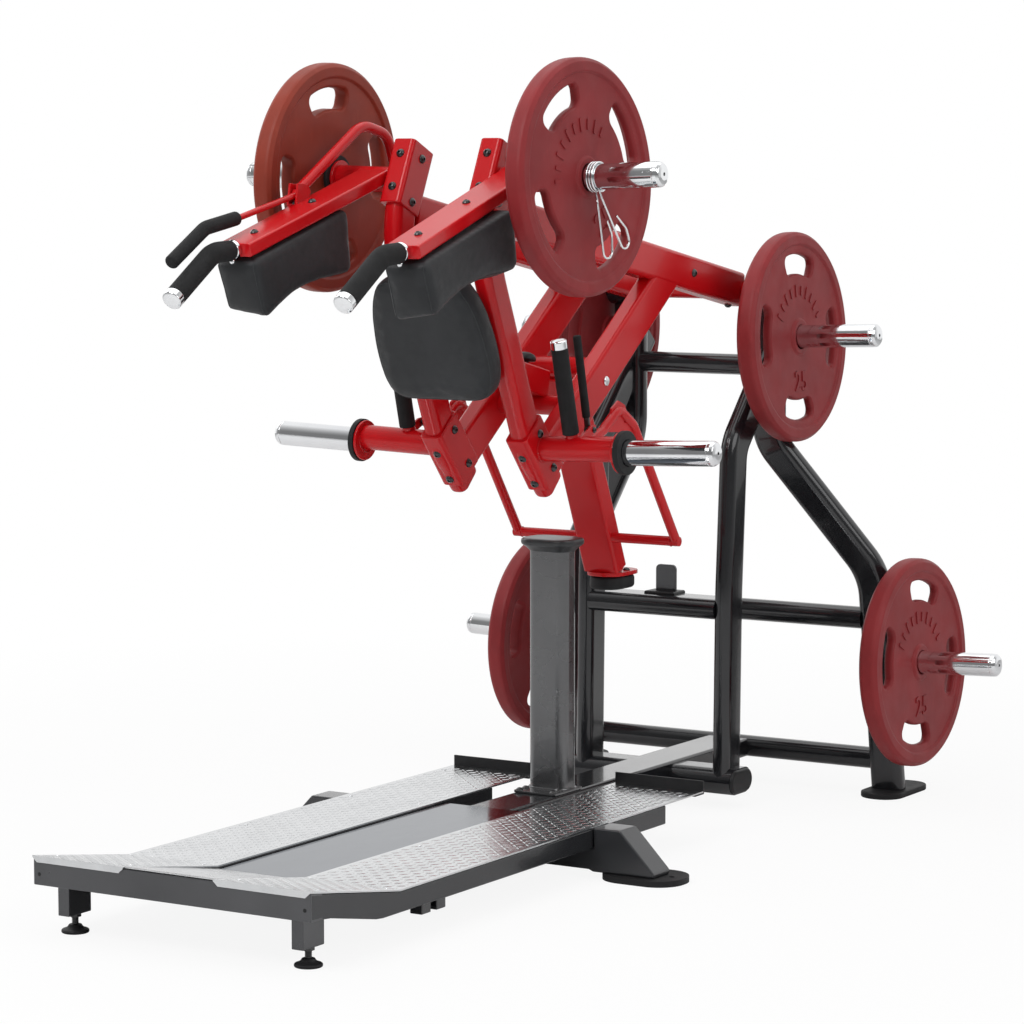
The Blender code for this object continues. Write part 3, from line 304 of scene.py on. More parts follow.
def turned(profile, base, axis, steps, closed=False):
    """Turn a profile of (distance along the axis, radius) about an axis."""
    mesh = bpy.data.meshes.new("shape")
    links = [(i, i + 1) for i in range(len(profile) - 1)] + ([(len(profile) - 1, 0)] if closed else [])
    mesh.from_pydata([(r, 0.0, s) for s, r in profile], links, [])
    obj = bpy.data.objects.new("shape", mesh)
    bpy.context.scene.collection.objects.link(obj)
    mod = obj.modifiers.new("turned", "SCREW")
    mod.axis = "Z"
    mod.angle = tau
    mod.steps = steps
    mod.render_steps = steps
    mod.use_merge_vertices = True
    mod.merge_threshold = 0.000005
    return baked(obj, frame_at(Vector(base), *axes_of(axis)))


def rounded_profile(points, radius, steps):
    """Ease every corner of a turned profile that lies off the axis."""
    result = [points[0]]
    for i in range(1, len(points) - 1):
        here = Vector(points[i])
        back = Vector(points[i - 1]) - here
        ahead = Vector(points[i + 1]) - here
        reach = min(radius, back.length * 0.49, ahead.length * 0.49)
        a = here + back.normalized() * reach
        b = here + ahead.normalized() * reach
        for k in range(steps + 1):
            t = k / steps
            result.append(tuple(a * (1 - t) ** 2 + here * 2 * t * (1 - t) + b * t ** 2))
    result.append(points[-1])
    return result


def lathe(profile, soft, base, axis, steps=64, detail=3):
    """A turned shape with every corner eased."""
    return turned(rounded_profile(profile, soft, detail), base, axis, steps)


def pin(base, axis, length, radius, soft=0.001, steps=48):
    profile = [(0.0, 0.0), (0.0, radius), (length, radius), (length, 0.0)]
    return lathe(profile, soft, base, axis, steps)


def circle(radius, count, x=0.0, y=0.0):
    return [(x + radius * cos(tau * i / count), y + radius * sin(tau * i / count))
            for i in range(count)]


def placed(outline, x, y):
    return [(a + x, b + y) for a, b in outline]


def rounded(width, height, radius, steps=6):
    radius = min(radius, width / 2 - 0.00005, height / 2 - 0.00005)
    points = []
    for k, (sx, sy) in enumerate(((1, 1), (-1, 1), (-1, -1), (1, -1))):
        for i in range(steps + 1):
            turn = pi / 2 * (k + i / steps)
            points.append((sx * (width / 2 - radius) + radius * cos(turn),
                           sy * (height / 2 - radius) + radius * sin(turn)))
    return points


def rounded_path(points, radius, steps=10):
    points = [Vector(p) for p in points]
    radii = radius if isinstance(radius, (list, tuple)) else [radius] * (len(points) - 2)
    path = [points[0]]
    for i in range(1, len(points) - 1):
        here = points[i]
        back = (points[i - 1] - here).normalized()
        ahead = (points[i + 1] - here).normalized()
        half = back.angle(ahead) / 2
        reach = radii[i - 1] / tan(half)
        centre = here + (back + ahead).normalized() * (radii[i - 1] / sin(half))
        first = here + back * reach - centre
        axis = first.cross(here + ahead * reach - centre)
        for k in range(steps + 1):
            path.append(centre + Matrix.Rotation((pi - 2 * half) * k / steps, 3, axis) @ first)
    path.append(points[-1])
    return path


def bridge(bm, rings):
    for low, high in zip(rings, rings[1:]):
        for i in range(len(low)):
            j = (i + 1) % len(low)
            bm.faces.new((low[i], low[j], high[j], high[i]))


def loft(rings):
    """A solid through rings of points, closed at both ends."""
    bm = bmesh.new()
    rings = [[bm.verts.new(point) for point in ring] for ring in rings]
    bridge(bm, rings)
    bm.faces.new(rings[0][::-1])
    bm.faces.new(rings[-1])
    return solid(bm)


def sweep(path, section, side=(1.0, 0.0, 0.0), soft=0.0):
    """Loft a section along a path with mitred bends and eased ends."""
    points = [Vector(p) for p in path]
    side = Vector(side)
    wide = max(abs(u) for u, v in section)
    high = max(abs(v) for u, v in section)
    stations = []
    for i, point in enumerate(points):
        before = (point - points[i - 1]).normalized() if i else (points[1] - point).normalized()
        after = (points[i + 1] - point).normalized() if i < len(points) - 1 else before
        stations.append((point, before, after, 0.0))
    if soft > 0.0:
        start, _, ahead, _ = stations[0]
        end, last, _, _ = stations[-1]
        turns = [pi / 2 * k / 4 for k in range(5)]
        stations[0:1] = [(start + ahead * soft * (1 - cos(a)), ahead, ahead, soft * (1 - sin(a)))
                         for a in turns]
        stations[-1:] = [(end - last * soft * (1 - cos(a)), last, last, soft * (1 - sin(a)))
                         for a in turns[::-1]]
    rings = []
    for point, before, after, inset in stations:
        along = (before + after).normalized()
        across = (side - along * side.dot(along)).normalized()
        up = along.cross(across)
        turn = after - before
        bend = (turn - along * turn.dot(along)).normalized() if turn.length > 1e-6 else None
        stretch = 1.0 / max(0.3, along.dot(after))
        loop = []
        for u, v in section:
            offset = across * (u * (1 - inset / wide)) + up * (v * (1 - inset / high))
            if bend is not None:
                offset += bend * (offset.dot(bend) * (stretch - 1.0))
            loop.append(point + offset)
        rings.append(loop)
    return loft(rings)


def rod(path, radius, soft=0.0, detail=6):
    """A round bar along a path, with its ends eased by soft."""
    points = [(Vector(point), 1.0) for point in path]
    if soft > 0.0:
        start, second = points[0][0], points[1][0]
        end, last = points[-1][0], points[-2][0]
        turns = [pi / 2 * k / 4 for k in range(5)]
        head = [(start + (second - start).normalized() * soft * (1 - cos(a)),
                 1 - soft / radius * (1 - sin(a))) for a in turns]
        tail = [(end + (last - end).normalized() * soft * (1 - cos(a)),
                 1 - soft / radius * (1 - sin(a))) for a in turns[::-1]]
        points[0:1] = head
        points[-1:] = tail
    curve = bpy.data.curves.new("shape", "CURVE")
    curve.dimensions = "3D"
    curve.bevel_depth = radius
    curve.bevel_resolution = detail
    curve.use_fill_caps = True
    spline = curve.splines.new("POLY")
    spline.points.add(len(points) - 1)
    for spot, (point, scale) in zip(spline.points, points):
        spot.co = (*point, 1.0)
        spot.radius = scale
    obj = bpy.data.objects.new("shape", curve)
    bpy.context.scene.collection.objects.link(obj)
    return baked(obj, Matrix.Identity(4))


PLANES = {
    "yz": ((0.0, 1.0, 0.0), (0.0, 0.0, 1.0), (1.0, 0.0, 0.0)),
    "xz": ((1.0, 0.0, 0.0), (0.0, 0.0, 1.0), (0.0, -1.0, 0.0)),
    "xy": ((1.0, 0.0, 0.0), (0.0, 1.0, 0.0), (0.0, 0.0, 1.0)),
}


def prism(outlines, placement, low, high):
    """Give one outline, or an outline and its holes, thickness along the third axis."""
    curve = bpy.data.curves.new("shape", "CURVE")
    curve.dimensions = "2D"
    curve.fill_mode = "BOTH"
    curve.extrude = (high - low) / 2
    for outline in outlines:
        spline = curve.splines.new("POLY")
        spline.points.add(len(outline) - 1)
        for spot, (a, b) in zip(spline.points, outline):
            spot.co = (a, b, 0.0, 1.0)
        spline.use_cyclic_u = True
    obj = bpy.data.objects.new("shape", curve)
    bpy.context.scene.collection.objects.link(obj)
    made = baked(obj, placement @ Matrix.Translation((0.0, 0.0, (low + high) / 2)))
    bm = bmesh.new()
    bm.from_mesh(made.data)
    bmesh.ops.dissolve_limit(bm, angle_limit=radians(0.1), verts=bm.verts, edges=bm.edges)
    bm.to_mesh(made.data)
    bm.free()
    return made


def slab(outline, plane, low, high, holes=()):
    if plane == "xz":
        low, high = -high, -low
    return prism([outline, *holes], frame_at(Vector(), *PLANES[plane]), low, high)


def block(low, high):
    bm = bmesh.new()
    size = Vector(high) - Vector(low)
    centre = (Vector(high) + Vector(low)) / 2
    bmesh.ops.create_cube(bm, size=1.0, matrix=Matrix.Translation(centre) @ Matrix.Diagonal((*size, 1.0)))
    return solid(bm)


def eased(obj, width, segments=3, angle=32.0):
    """Round the sharp edges."""
    mod = obj.modifiers.new("soft_edges", "BEVEL")
    mod.width = width
    mod.segments = segments
    mod.limit_method = "ANGLE"
    mod.angle_limit = radians(angle)
    mod.harden_normals = False
    return obj


def settle(obj):
    """Turn the modifiers of a shape into its mesh."""
    mesh = evaluated(obj)
    obj.modifiers.clear()
    old = obj.data
    obj.data = mesh
    bpy.data.meshes.remove(old)
    return obj


def cut(target, *others):
    for other in others:
        mod = target.modifiers.new("cut", "BOOLEAN")
        mod.operation = "DIFFERENCE"
        mod.solver = "EXACT"
        mod.object = other
    settle(target)
    for other in others:
        bpy.data.objects.remove(other, do_unlink=True)
    return target


def group(parts):
    """Gather loose shapes in one piece."""
    bm = bmesh.new()
    for part in parts:
        settle(part)
        bm.from_mesh(part.data)
        bpy.data.objects.remove(part, do_unlink=True)
    return solid(bm)


def dress(obj, name, mat, body, *nodes, smooth=35.0):
    """Finish a shape, or several as one piece: its material, smooth faces, body and replaced nodes."""
    obj = group(obj) if isinstance(obj, list) else settle(obj)
    for polygon in obj.data.polygons:
        polygon.use_smooth = True
    obj.data.set_sharp_from_angle(angle=radians(smooth))
    even = obj.modifiers.new("even_faces", "WEIGHTED_NORMAL")
    even.keep_sharp = True
    even.weight = 80
    settle(obj)
    obj.name = name
    obj.data.name = name
    obj.data.transform(Matrix.Translation((0.0, FRONT, 0.0)))
    obj.data.materials.clear()
    obj.data.materials.append(mat)
    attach(obj, body)
    if nodes:
        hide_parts(*nodes)
    return obj


def span(s, inner, outer):
    """The low and high X of a piece on side s."""
    return sorted((s * inner, s * outer))


def yz(points, x=0.0):
    return [(x, y, z) for y, z in points]


def deck_z(y, drop=0.0):
    return max(DECK_TOP, DECK_FRONT_TOP - DECK_SLOPE * y) - drop


def bolt(spot, axis, radius=0.0085, height=0.0055):
    """A button-head screw with a hexagon socket."""
    profile = [(-0.002, 0.0), (-0.002, radius), (height * 0.25, radius), (height * 0.75, radius * 0.72),
               (height, radius * 0.45), (height, 0.0)]
    head = lathe(profile, 0.0012, spot, axis, 28)
    place = frame_at(Vector(spot), *axes_of(axis))
    return cut(head, prism([circle(radius * 0.36, 6)], place, height * 0.45, height + 0.002))


def weld(spot, axis, radius, wire=0.0018):
    """The bead round a stub that is welded to another tube."""
    u, v, w = axes_of(axis)
    base = Vector(spot)
    ring = [base + u * radius * cos(tau * i / 40) + v * radius * sin(tau * i / 40)
            for i in range(41)]
    return rod(ring, wire, 0.0, 2)


# Weight plates
SLOT_INNER = 0.1355
SLOT_OUTER = 0.1775
HUB_RADIUS = 0.036
WEB_RADIUS = 0.1975
MARK_RADIUS = 0.099
NUMBER_RADIUS = 0.097
MARK_HALF = 0.0021


def slot_outline(grow=0.0):
    """A finger slot as (radius, angle) points: a long arc with full round ends."""
    inner = SLOT_INNER - grow
    outer = SLOT_OUTER + grow
    reach = radians(22.5) + grow / 0.157
    corner = 0.0150 + grow
    points = []
    for way in (1.0, -1.0):
        near, far, inward = (outer, inner, 1.0) if way > 0 else (inner, outer, -1.0)
        flat = reach - corner / near
        points += [(near, way * (-flat + 2 * flat * k / 12)) for k in range(13)]
        turns = [pi / 2 * k / 6 for k in range(1, 7)]
        points += [(near - inward * corner * (1 - cos(t)), way * (flat + corner * sin(t) / near))
                   for t in turns]
        flat = reach - corner / far
        points += [(far + inward * corner * (1 - cos(t)), way * (flat + corner * sin(t) / far))
                   for t in turns[4::-1]]
    return points


def weight_plate(name, s, spec, turn, body, yaw=0.0, stand_off=0.0, mat=None):
    """A rubber-coated grip plate: raised rim, thin web, hub ring, soft-edged slots and embossed marks."""
    face, y, z, tip = spec
    axis = Matrix.Rotation(s * yaw, 3, "Z") @ horn_axis(s)
    t = PLATE_THICK
    play = PLATE_BORE * cos(pi / 24) - HORN_RADIUS - t / 2 * tan(abs(yaw))
    base = Vector((s * face, y, z - play + GAP)) + horn_axis(s) * (stand_off + t / 2) - axis * t / 2
    ahead = Vector((axis.y, -axis.x, 0.0)).normalized() * s
    up = ahead.cross(axis) * s
    place = frame_at(base, ahead, up, ahead.cross(up))
    outward = ahead.cross(up).dot(axis)
    back_web = 0.0170 if s > 0 else WEB_DEPTH
    profile = []
    for web, side in ((back_web, 0), (WEB_DEPTH, 1)):
        half = [(0.0, PLATE_BORE), (0.0, HUB_RADIUS), (web, HUB_RADIUS + web), (web, WEB_RADIUS - web * 0.6),
                (web * 0.15, WEB_RADIUS + 0.001), (0.0, WEB_RADIUS + 0.003), (0.0, 0.2165), (0.0065, 0.2236),
                (0.012, PLATE_RADIUS)]
        profile += [(t - d, r) for d, r in half[::-1]] if side else half
    profile = rounded_profile(profile + [profile[0]], 0.0016, 3)[:-1]
    disc = turned(profile, base, axis, 120, closed=True)
    cutters = []
    side = 1.0 if outward > 0 else -1.0
    flare = ((-0.0002, 0.0062), (0.0014, 0.0034), (0.0040, 0.0012), (0.0075, 0.0))
    levels = [(-0.012, 0.0062)] + [(back_web + depth, grow) for depth, grow in flare]
    levels += [(t - WEB_DEPTH - depth, grow) for depth, grow in flare[::-1]] + [(t + 0.012, 0.0062)]
    for k in range(4):
        start = turn + k * pi / 2
        cutters.append(loft([[place @ Vector((r * sin(a + start), r * cos(a + start), side * depth))
                              for r, a in slot_outline(grow)] for depth, grow in levels]))
    cut(disc, *cutters)
    eased(disc, 0.0012, 2, 40.0)
    mat = mat or PLATE
    dress(disc, name, mat, body, body)
    marks = []
    outer = t if outward > 0 else -t
    tilt = turn if abs(turn) > 0.3 else 0.0
    for i in range(10):
        a = radians(-63.0 + 14.0 * i) + tilt
        spot = place @ Vector((MARK_RADIUS * sin(a), MARK_RADIUS * cos(a), outer * (1 - WEB_DEPTH / t)))
        u = (place.to_3x3() @ Vector((sin(a), cos(a), 0.0))).normalized()
        v = axis.cross(u)
        bar = rounded(0.0080, 0.027 if i % 2 else 0.021, 0.0024, 3)
        marks.append(prism([bar], frame_at(spot, v, u, v.cross(u)), -MARK_HALF, MARK_HALF))
    text = bpy.data.curves.new("number", "FONT")
    text.body = "25"
    text.size = 0.060
    text.extrude = 0.0020
    text.bevel_depth = 0.0003
    text.align_x = "CENTER"
    text.align_y = "CENTER"
    number = bpy.data.objects.new("number", text)
    bpy.context.scene.collection.objects.link(number)
    down = (place.to_3x3() @ Vector((sin(pi + tilt), cos(pi + tilt), 0.0))).normalized()
    right = (-down).cross(axis)
    spot = base + axis * (t - WEB_DEPTH) + down * NUMBER_RADIUS
    marks.append(baked(number, frame_at(spot, right, -down, axis)))
    dress(marks, name + "_marks", mat, body)


for s, tag in SIDES:
    weight_plate("rack_plate_top_%s_dressed" % tag, s, RACK_TOP, radians(-3.0), "rack_plate_top_" + tag)
    weight_plate("rack_plate_low_%s_dressed" % tag, s, RACK_LOW, radians(-10.0), "rack_plate_low_" + tag,
                 radians(-1.2), 0.0010)
weight_plate("load_plate_near_dressed", 1, LOAD_HORN, radians(31.5), "load_plate_near", radians(-3.0), 0.0026)
weight_plate("load_plate_far_dressed", -1, LOAD_HORN, radians(8.0), "load_plate_far", mat=WARM_PLATE)


# Weight horns
def horn(name, s, face, y, z, length, back, body, node, slots=False):
    """A chrome sleeve with a domed cap, a recess in its tip holding a dark disc of painted shade and, on the
    lever, short slots round its end.
    """
    axis = horn_axis(s)
    base = Vector((s * face, y, z))
    r = HORN_RADIUS
    tip = [(0.016, r), (0.0155, r - 0.0006), (0.0148, r - 0.0006), (0.0143, r - 0.0001), (0.007, r - 0.0006),
           (0.0025, r * 0.80), (0.0006, r * 0.50), (0.0, 0.0030), (0.003, 0.0026), (0.003, 0.0)]
    profile = [(back, 0.0), (back, r)] + [(length - short, wide) for short, wide in tip]
    sleeve = lathe(profile, 0.0012, base, axis, 64)
    if slots:
        u, v, w = axes_of(axis)
        grooves = []
        for k in range(6):
            a = tau * k / 6 + 0.3
            out = u * cos(a) + v * sin(a)
            spot = base + axis * (length - 0.020) + out * r
            bar = rounded(0.0032, 0.030, 0.0015, 3)
            grooves.append(prism([bar], frame_at(spot, out.cross(axis), axis, out), -0.0016, 0.004))
        cut(sleeve, *grooves)
    dress(sleeve, name, CHROME, body, node)
    # A near-black disc just inside the tip's recess: painted shade.
    recess_shade = pin(base + axis * (length - 0.0010), axis, 0.0011, 0.0030, 0.0002, 16)
    dress(recess_shade, name + "_dimple", SHADE_DISC, body)


for s, tag in SIDES:
    length = (LOAD_HORN[3] - LOAD_HORN[0]) / cos(HORN_TILT)
    horn("load_horn_%s_sleeve" % tag, s, *LOAD_HORN[:3], length, 0.0002, "lever", "load_horn_" + tag, True)
    length = (RACK_TOP[3] - RACK_TOP[0]) / cos(HORN_TILT)
    horn("rack_horn_top_%s_sleeve" % tag, s, *RACK_TOP[:3], length, -0.0005, "frame", "rack_horn_top_" + tag)
    length = (RACK_LOW[3] - RACK_LOW[0]) / cos(HORN_TILT)
    horn("rack_horn_low_%s_sleeve" % tag, s, *RACK_LOW[:3], length, -0.0075, "frame", "rack_horn_low_" + tag)
    axis = horn_axis(s)
    base = Vector((s * RACK_LOW[0], *RACK_LOW[1:3]))
    low_flange = [(-0.008, 0.0), (-0.008, 0.044), (-0.0006, 0.044), (-0.0006, 0.0)]
    low_flange = lathe(low_flange, 0.0015, base, axis, 48)
    neck = pin(base - axis * 0.036, axis, 0.0285, 0.0240, 0.0004)
    dress([low_flange, neck], "rack_flange_low_" + tag, BLACK, "frame")
    base = Vector((s * RACK_TOP[0], *RACK_TOP[1:3]))
    neck = pin(base - axis * 0.0028, axis, 0.0022, 0.0230, 0.0003)
    dress(neck, "rack_neck_top_" + tag, BLACK, "frame")


# Platform
FACE_Y = SHEET + GAP
UNDER = SHEET + GAP
CHANNEL_BOTTOM = 0.092
CHANNEL_REAR = FACE_Y + 0.034
FOOT_X = 0.2545
FOOT_Y = 0.061
LEG_HALF = 0.0125
LEG_BOTTOM = 0.0345
THREAD_HOLE = 0.0072


def front_channel():
    wall = 0.004
    outline = [
        (FACE_Y, CHANNEL_BOTTOM), (CHANNEL_REAR, CHANNEL_BOTTOM), (CHANNEL_REAR, CHANNEL_BOTTOM + wall),
        (FACE_Y + wall, CHANNEL_BOTTOM + wall), (FACE_Y + wall, deck_z(FACE_Y + wall, UNDER + wall)),
        (CHANNEL_REAR, deck_z(CHANNEL_REAR, UNDER + wall)), (CHANNEL_REAR, deck_z(CHANNEL_REAR, UNDER)),
        (FACE_Y, deck_z(FACE_Y, UNDER))]
    body = eased(slab(outline, "yz", -DECK_HALF, DECK_HALF), 0.0016)
    legs = []
    for s in (1, -1):
        leg = block((s * FOOT_X - LEG_HALF, 0.028, LEG_BOTTOM), (s * FOOT_X + LEG_HALF, 0.092, DECK_TOP))
        bore = pin((s * FOOT_X, FOOT_Y, 0.030), UP, 0.034, THREAD_HOLE, 0.0002, 24)
        legs.append(cut(eased(leg, 0.002), bore))
    dress([body, *legs], "front_channel", GRAPHITE, "frame", "platform_frame")
    # Dark discs on the channel's face stand in for its holes: painted shade, no real openings.
    holes = [pin((s * 0.288, FACE_Y + 0.0006, 0.112), (0, -1, 0), 0.0009, 0.0036, 0.0002, 20)
             for s in (1, -1)]
    dress(holes, "channel_hole_shades", SHADE_DISC, "frame")


front_channel()

drop = UNDER + 0.0002
rail_outline = [
    (0.005, 0.094), (0.005, deck_z(0.005, drop)), (DECK_CREASE_Y, DECK_TOP - drop), (1.240, DECK_TOP - drop),
    (1.240, 0.058), (0.225, 0.058), (0.205, 0.0600), (0.066, 0.0880)]
inner_outline = [
    (0.034, 0.100), (0.034, deck_z(0.034, drop)), (DECK_CREASE_Y, DECK_TOP - drop), (1.224, DECK_TOP - drop),
    (1.224, 0.070), (0.225, 0.070), (0.200, 0.076)]
for s, tag in SIDES:
    rail = slab(rail_outline, "yz", *span(s, DECK_HALF - 0.038, DECK_HALF - 0.0004))
    dress(eased(rail, 0.003), "side_rail_" + tag, RAIL, "frame")
    edge = slab(inner_outline, "yz", *span(s, PANEL_HALF + 0.0007, PANEL_HALF + 0.018))
    dress(eased(edge, 0.0015), "edge_rail_" + tag, RAIL, "frame")
tie = eased(block((0.01 - DECK_HALF, 0.560, 0.062), (DECK_HALF - 0.01, 0.600, 0.085)), 0.003)
ears = [eased(block((0.262, y, 0.036), (0.288, y + 0.030, 0.060)), 0.002) for y in (0.366, 0.415)]
pegs = [pin((0.275, y + 0.015, 0.0355), (0, 0, 1), 0.010, 0.009, 0.0015, 24) for y in (0.366, 0.415)]
dress([tie, *ears, *pegs], "rail_fittings", BLACK, "frame")

for s, tag in SIDES:
    base = Vector((s * FOOT_X, FOOT_Y, 0.0))
    shell = [(0.0, 0.0), (0.0, 0.0235), (0.0012, 0.0250), (0.0044, 0.0252), (0.0062, 0.0240),
             (0.0082, 0.0180), (0.0108, 0.0140), (0.0152, 0.0112), (0.0166, 0.0)]
    foot = lathe(shell, 0.0012, base, UP, 48)
    dress(foot, "levelling_foot_%s_base" % tag, RUBBER, "levelling_foot_" + tag, "levelling_foot_" + tag)
    stem = pin((*base.xy, 0.0155), UP, 0.0300, 0.0058, 0.0006, 24)
    nut = eased(prism([circle(0.0112, 6)], frame_at(base, *axes_of(UP)), 0.0287, LEG_BOTTOM - 0.0002), 0.0008)
    cut(nut, pin((*base.xy, 0.026), UP, 0.012, THREAD_HOLE, 0.0002, 24))
    dress(nut, "levelling_nut_" + tag, SEMI, "frame")
    rings = []
    for z in (0.0180, 0.0205, 0.0230, 0.0255):
        thread = [(z, 0.0055), (z + 0.0008, 0.0066), (z + 0.0016, 0.0055)]
        rings.append(lathe(thread, 0.0002, base, UP, 24, 2))
    dress([stem, *rings], "levelling_foot_%s_stem" % tag, SEMI, "levelling_foot_" + tag)


BAR_RINGS = ((0.0090, 0.0034, 0.0), (0.0062, 0.0013, 0.0009))


def raised_bars(s, low_x, high_x):
    """Low lens-shaped bars in rows, turned by turns left and right, over the whole board."""
    bm = bmesh.new()
    pitch = 0.0172
    count = int((high_x - low_x - 0.006) / pitch)
    start = (low_x + high_x - (count - 1) * pitch) / 2
    tilt = atan(DECK_SLOPE)
    rows = int((DECK_REAR_Y - 0.016) / pitch)
    for j in range(rows):
        y = 0.011 + j * pitch
        if abs(y - DECK_CREASE_Y) < 0.006 or y > 1.355:
            continue
        z = deck_z(y) - 0.0001
        lean = -tilt if y < DECK_CREASE_Y else 0.0
        for i in range(count):
            turn = pi / 4 if (i + j) % 2 else -pi / 4
            place = Matrix.Translation((s * (start + i * pitch), y, z)) @ Matrix.Rotation(lean, 4, "X")
            place = place @ Matrix.Rotation(turn, 4, "Z")
            rings = [[], []]
            for a, b in circle(1.0, 10):
                for ring, (length, width, high) in zip(rings, BAR_RINGS):
                    ring.append(bm.verts.new(place @ Vector((length * a, width * b, high))))
            bridge(bm, rings)
            bm.faces.new(rings[1])
    return solid(bm)


board_outline = [
    (0.0, DECK_FRONT_TOP - 0.012), (0.0, DECK_FRONT_TOP), (DECK_CREASE_Y, DECK_TOP), (DECK_REAR_Y, DECK_TOP),
    (DECK_REAR_Y, DECK_TOP - SHEET), (DECK_CREASE_Y, DECK_TOP - SHEET),
    (SHEET, deck_z(SHEET, SHEET)), (SHEET, DECK_FRONT_TOP - 0.012)]
for s, tag in SIDES:
    inner = PANEL_HALF + 0.0005
    board = slab(board_outline, "yz", *span(s, inner, DECK_HALF))
    corners = []
    for x, way in ((inner, 1), (DECK_HALF, -1)):
        edge = s * (x - way * 0.002)
        inside = s * (x + way * 0.010)
        corner = [(edge, 0.130), (inside, 0.130), (inside, 0.134), (edge, 0.1445)]
        corners.append(slab(corner, "xz", -0.01, 0.0034))
    cut(board, *corners)
    dress(eased(board, 0.0007, 2), "tread_board_%s_sheet" % tag, TREAD, "frame", "tread_board_" + tag)
    dress(raised_bars(s, inner, DECK_HALF), "tread_board_%s_bars" % tag, TREAD, "frame")
    screws = [pin((s * x, y, deck_z(y) - 0.0004), UP, 0.0017, 0.0034, 0.0007, 20)
              for x in (0.118, 0.283) for y in (0.050, 0.262, 0.620, 0.980, 1.330)]
    dress(screws, "board_screws_" + tag, STEEL, "frame")
    stop_outline = [
        (1.362, 0.0936), (DECK_REAR_Y + 0.0043, 0.0936), (DECK_REAR_Y + 0.0043, 0.121),
        (DECK_REAR_Y + GAP, 0.121), (DECK_REAR_Y + GAP, DECK_TOP - UNDER), (1.362, DECK_TOP - UNDER)]
    stop = slab(stop_outline, "yz", *span(s, 0.094, DECK_HALF))
    dress(eased(stop, 0.0008, 2), "heel_stop_%s_strip" % tag, SATIN_PLASTIC, "frame", "heel_stop_" + tag)

# The centre sheet is one glossy metal panel folded at the crease. Its pale slope and dark flat part are
# painted reflections, of the white room in front and of the grey and dark above.
front_z = deck_z(FACE_Y, UNDER) + 0.0012
slope = [(FACE_Y + 0.001, front_z), (FACE_Y + 0.001, front_z + SHEET), (DECK_CREASE_Y, PANEL_TOP),
         (DECK_CREASE_Y, PANEL_TOP - SHEET)]
slope_sheet = slab(slope, "yz", -PANEL_HALF, PANEL_HALF)
dress(eased(slope_sheet, 0.0006, 2), "centre_panel_slope", PANEL_WHITE_REFLECTION, "frame", "centre_panel")
flat_sheet = block((-PANEL_HALF, DECK_CREASE_Y + 0.0002, PANEL_TOP - SHEET),
                   (PANEL_HALF, PANEL_REAR_Y, PANEL_TOP))
dress(eased(flat_sheet, 0.0006, 2), "centre_panel_flat", PANEL_DARK_REFLECTION, "frame")

# Outrigger with its two rounded foot plates
BEAM_BOTTOM = 0.050
half_outline = [
    (0.434, 0.012), (0.434, 0.022), (0.360, 0.098), (DECK_HALF + GAP, 0.098), (DECK_HALF + GAP, 0.0577),
    (0.058, 0.0577), (0.058, BEAM_BOTTOM - GAP)]
mirrored = [(-a, b) for a, b in half_outline[::-1]]
low_line = [(-0.30, 0.012), (-0.29, 0.016), (0.29, 0.016), (0.30, 0.012)]
outrigger = eased(slab(low_line + half_outline + mirrored, "xz", 0.950, 1.015), 0.0035)
dress(outrigger, "outrigger_body", CHARCOAL, "frame", "outrigger")
for s, tag in SIDES:
    outline = placed(rounded(0.170, 0.120, 0.055, 12), s * 0.395, 0.990)
    sole = eased(slab(outline, "xy", 0.0, 0.012, [circle(0.006, 20, s * 0.452, 0.990)]), 0.0025)
    dress(sole, "outrigger_sole_" + tag, RUBBER, "frame")

# Spine, foot tube and post
spine = sweep(yz([(0.932, 0.0705), (2.085, 0.0705)]), rounded(0.100, 0.041, 0.006, 6), soft=0.002)
dress(spine, "spine_tube", BLACK, "frame", "spine_and_foot_tube")


def flat_tube(y, z, depth, height, half):
    """A level tube across the machine, with a fully round front and back."""
    section = rounded(depth, height, min(depth, height) / 2, 12)
    return sweep([(-half, y, z), (half, y, z)], section, (0.0, 1.0, 0.0))


def bead(outline, z, radius):
    """A low round lip or weld along an outline."""
    return rod([(a, b, z) for a, b in outline + outline[:1]], radius, 0.0, 2)


dress(flat_tube(1.750, 0.0572, 0.100, 0.055, 0.1985), "foot_tube", BLACK, "frame")
for s, tag in SIDES:
    section = rounded(0.096, 0.051, 0.0254, 12)
    path = [(s * x, 1.750, 0.0572) for x in (0.192, 0.2048)]
    cap = sweep(path, section, (0.0, 1.0, 0.0), soft=0.006)
    dress(cap, "foot_tube_cap_" + tag, SATIN_PLASTIC, "frame")

post = sweep([(0.0, POST_Y, 0.094), (0.0, POST_Y, 0.585)], rounded(0.090, 0.060, 0.022, 12))
foot_plate = eased(slab(placed(rounded(0.100, 0.113, 0.006), 0.0, 1.2825), "xy", 0.0913, 0.096), 0.001, 2)
joint = bead(placed(rounded(0.0925, 0.0625, 0.0225, 10), 0.0, POST_Y), 0.0968, 0.0020)
dress([post, foot_plate, joint], "post_body", POST, "frame", "front_post")
heads = [bolt((x, y, 0.096), UP, 0.0075, 0.0045) for x in (-0.040, 0.040) for y in (1.236, 1.260)]
dress(heads, "post_bolts", SEMI, "frame")
cap_steps = ((0.5853, 0.001), (0.5862, 0.003), (0.5890, 0.008), (0.5930, 0.016), (0.5965, 0.025),
             (0.5985, 0.030), (0.6005, 0.0325), (0.6030, 0.0335), (0.6070, 0.0332), (0.6095, 0.0315),
             (0.6112, 0.027), (0.6120, 0.018))
cap = loft([[(a, POST_Y + b, z) for a, b in rounded(0.090 + grow, 0.060 + grow, 0.022 + grow / 3, 12)]
            for z, grow in cap_steps])
dress(cap, "post_cap_shell", CAP, "frame", "post_cap")

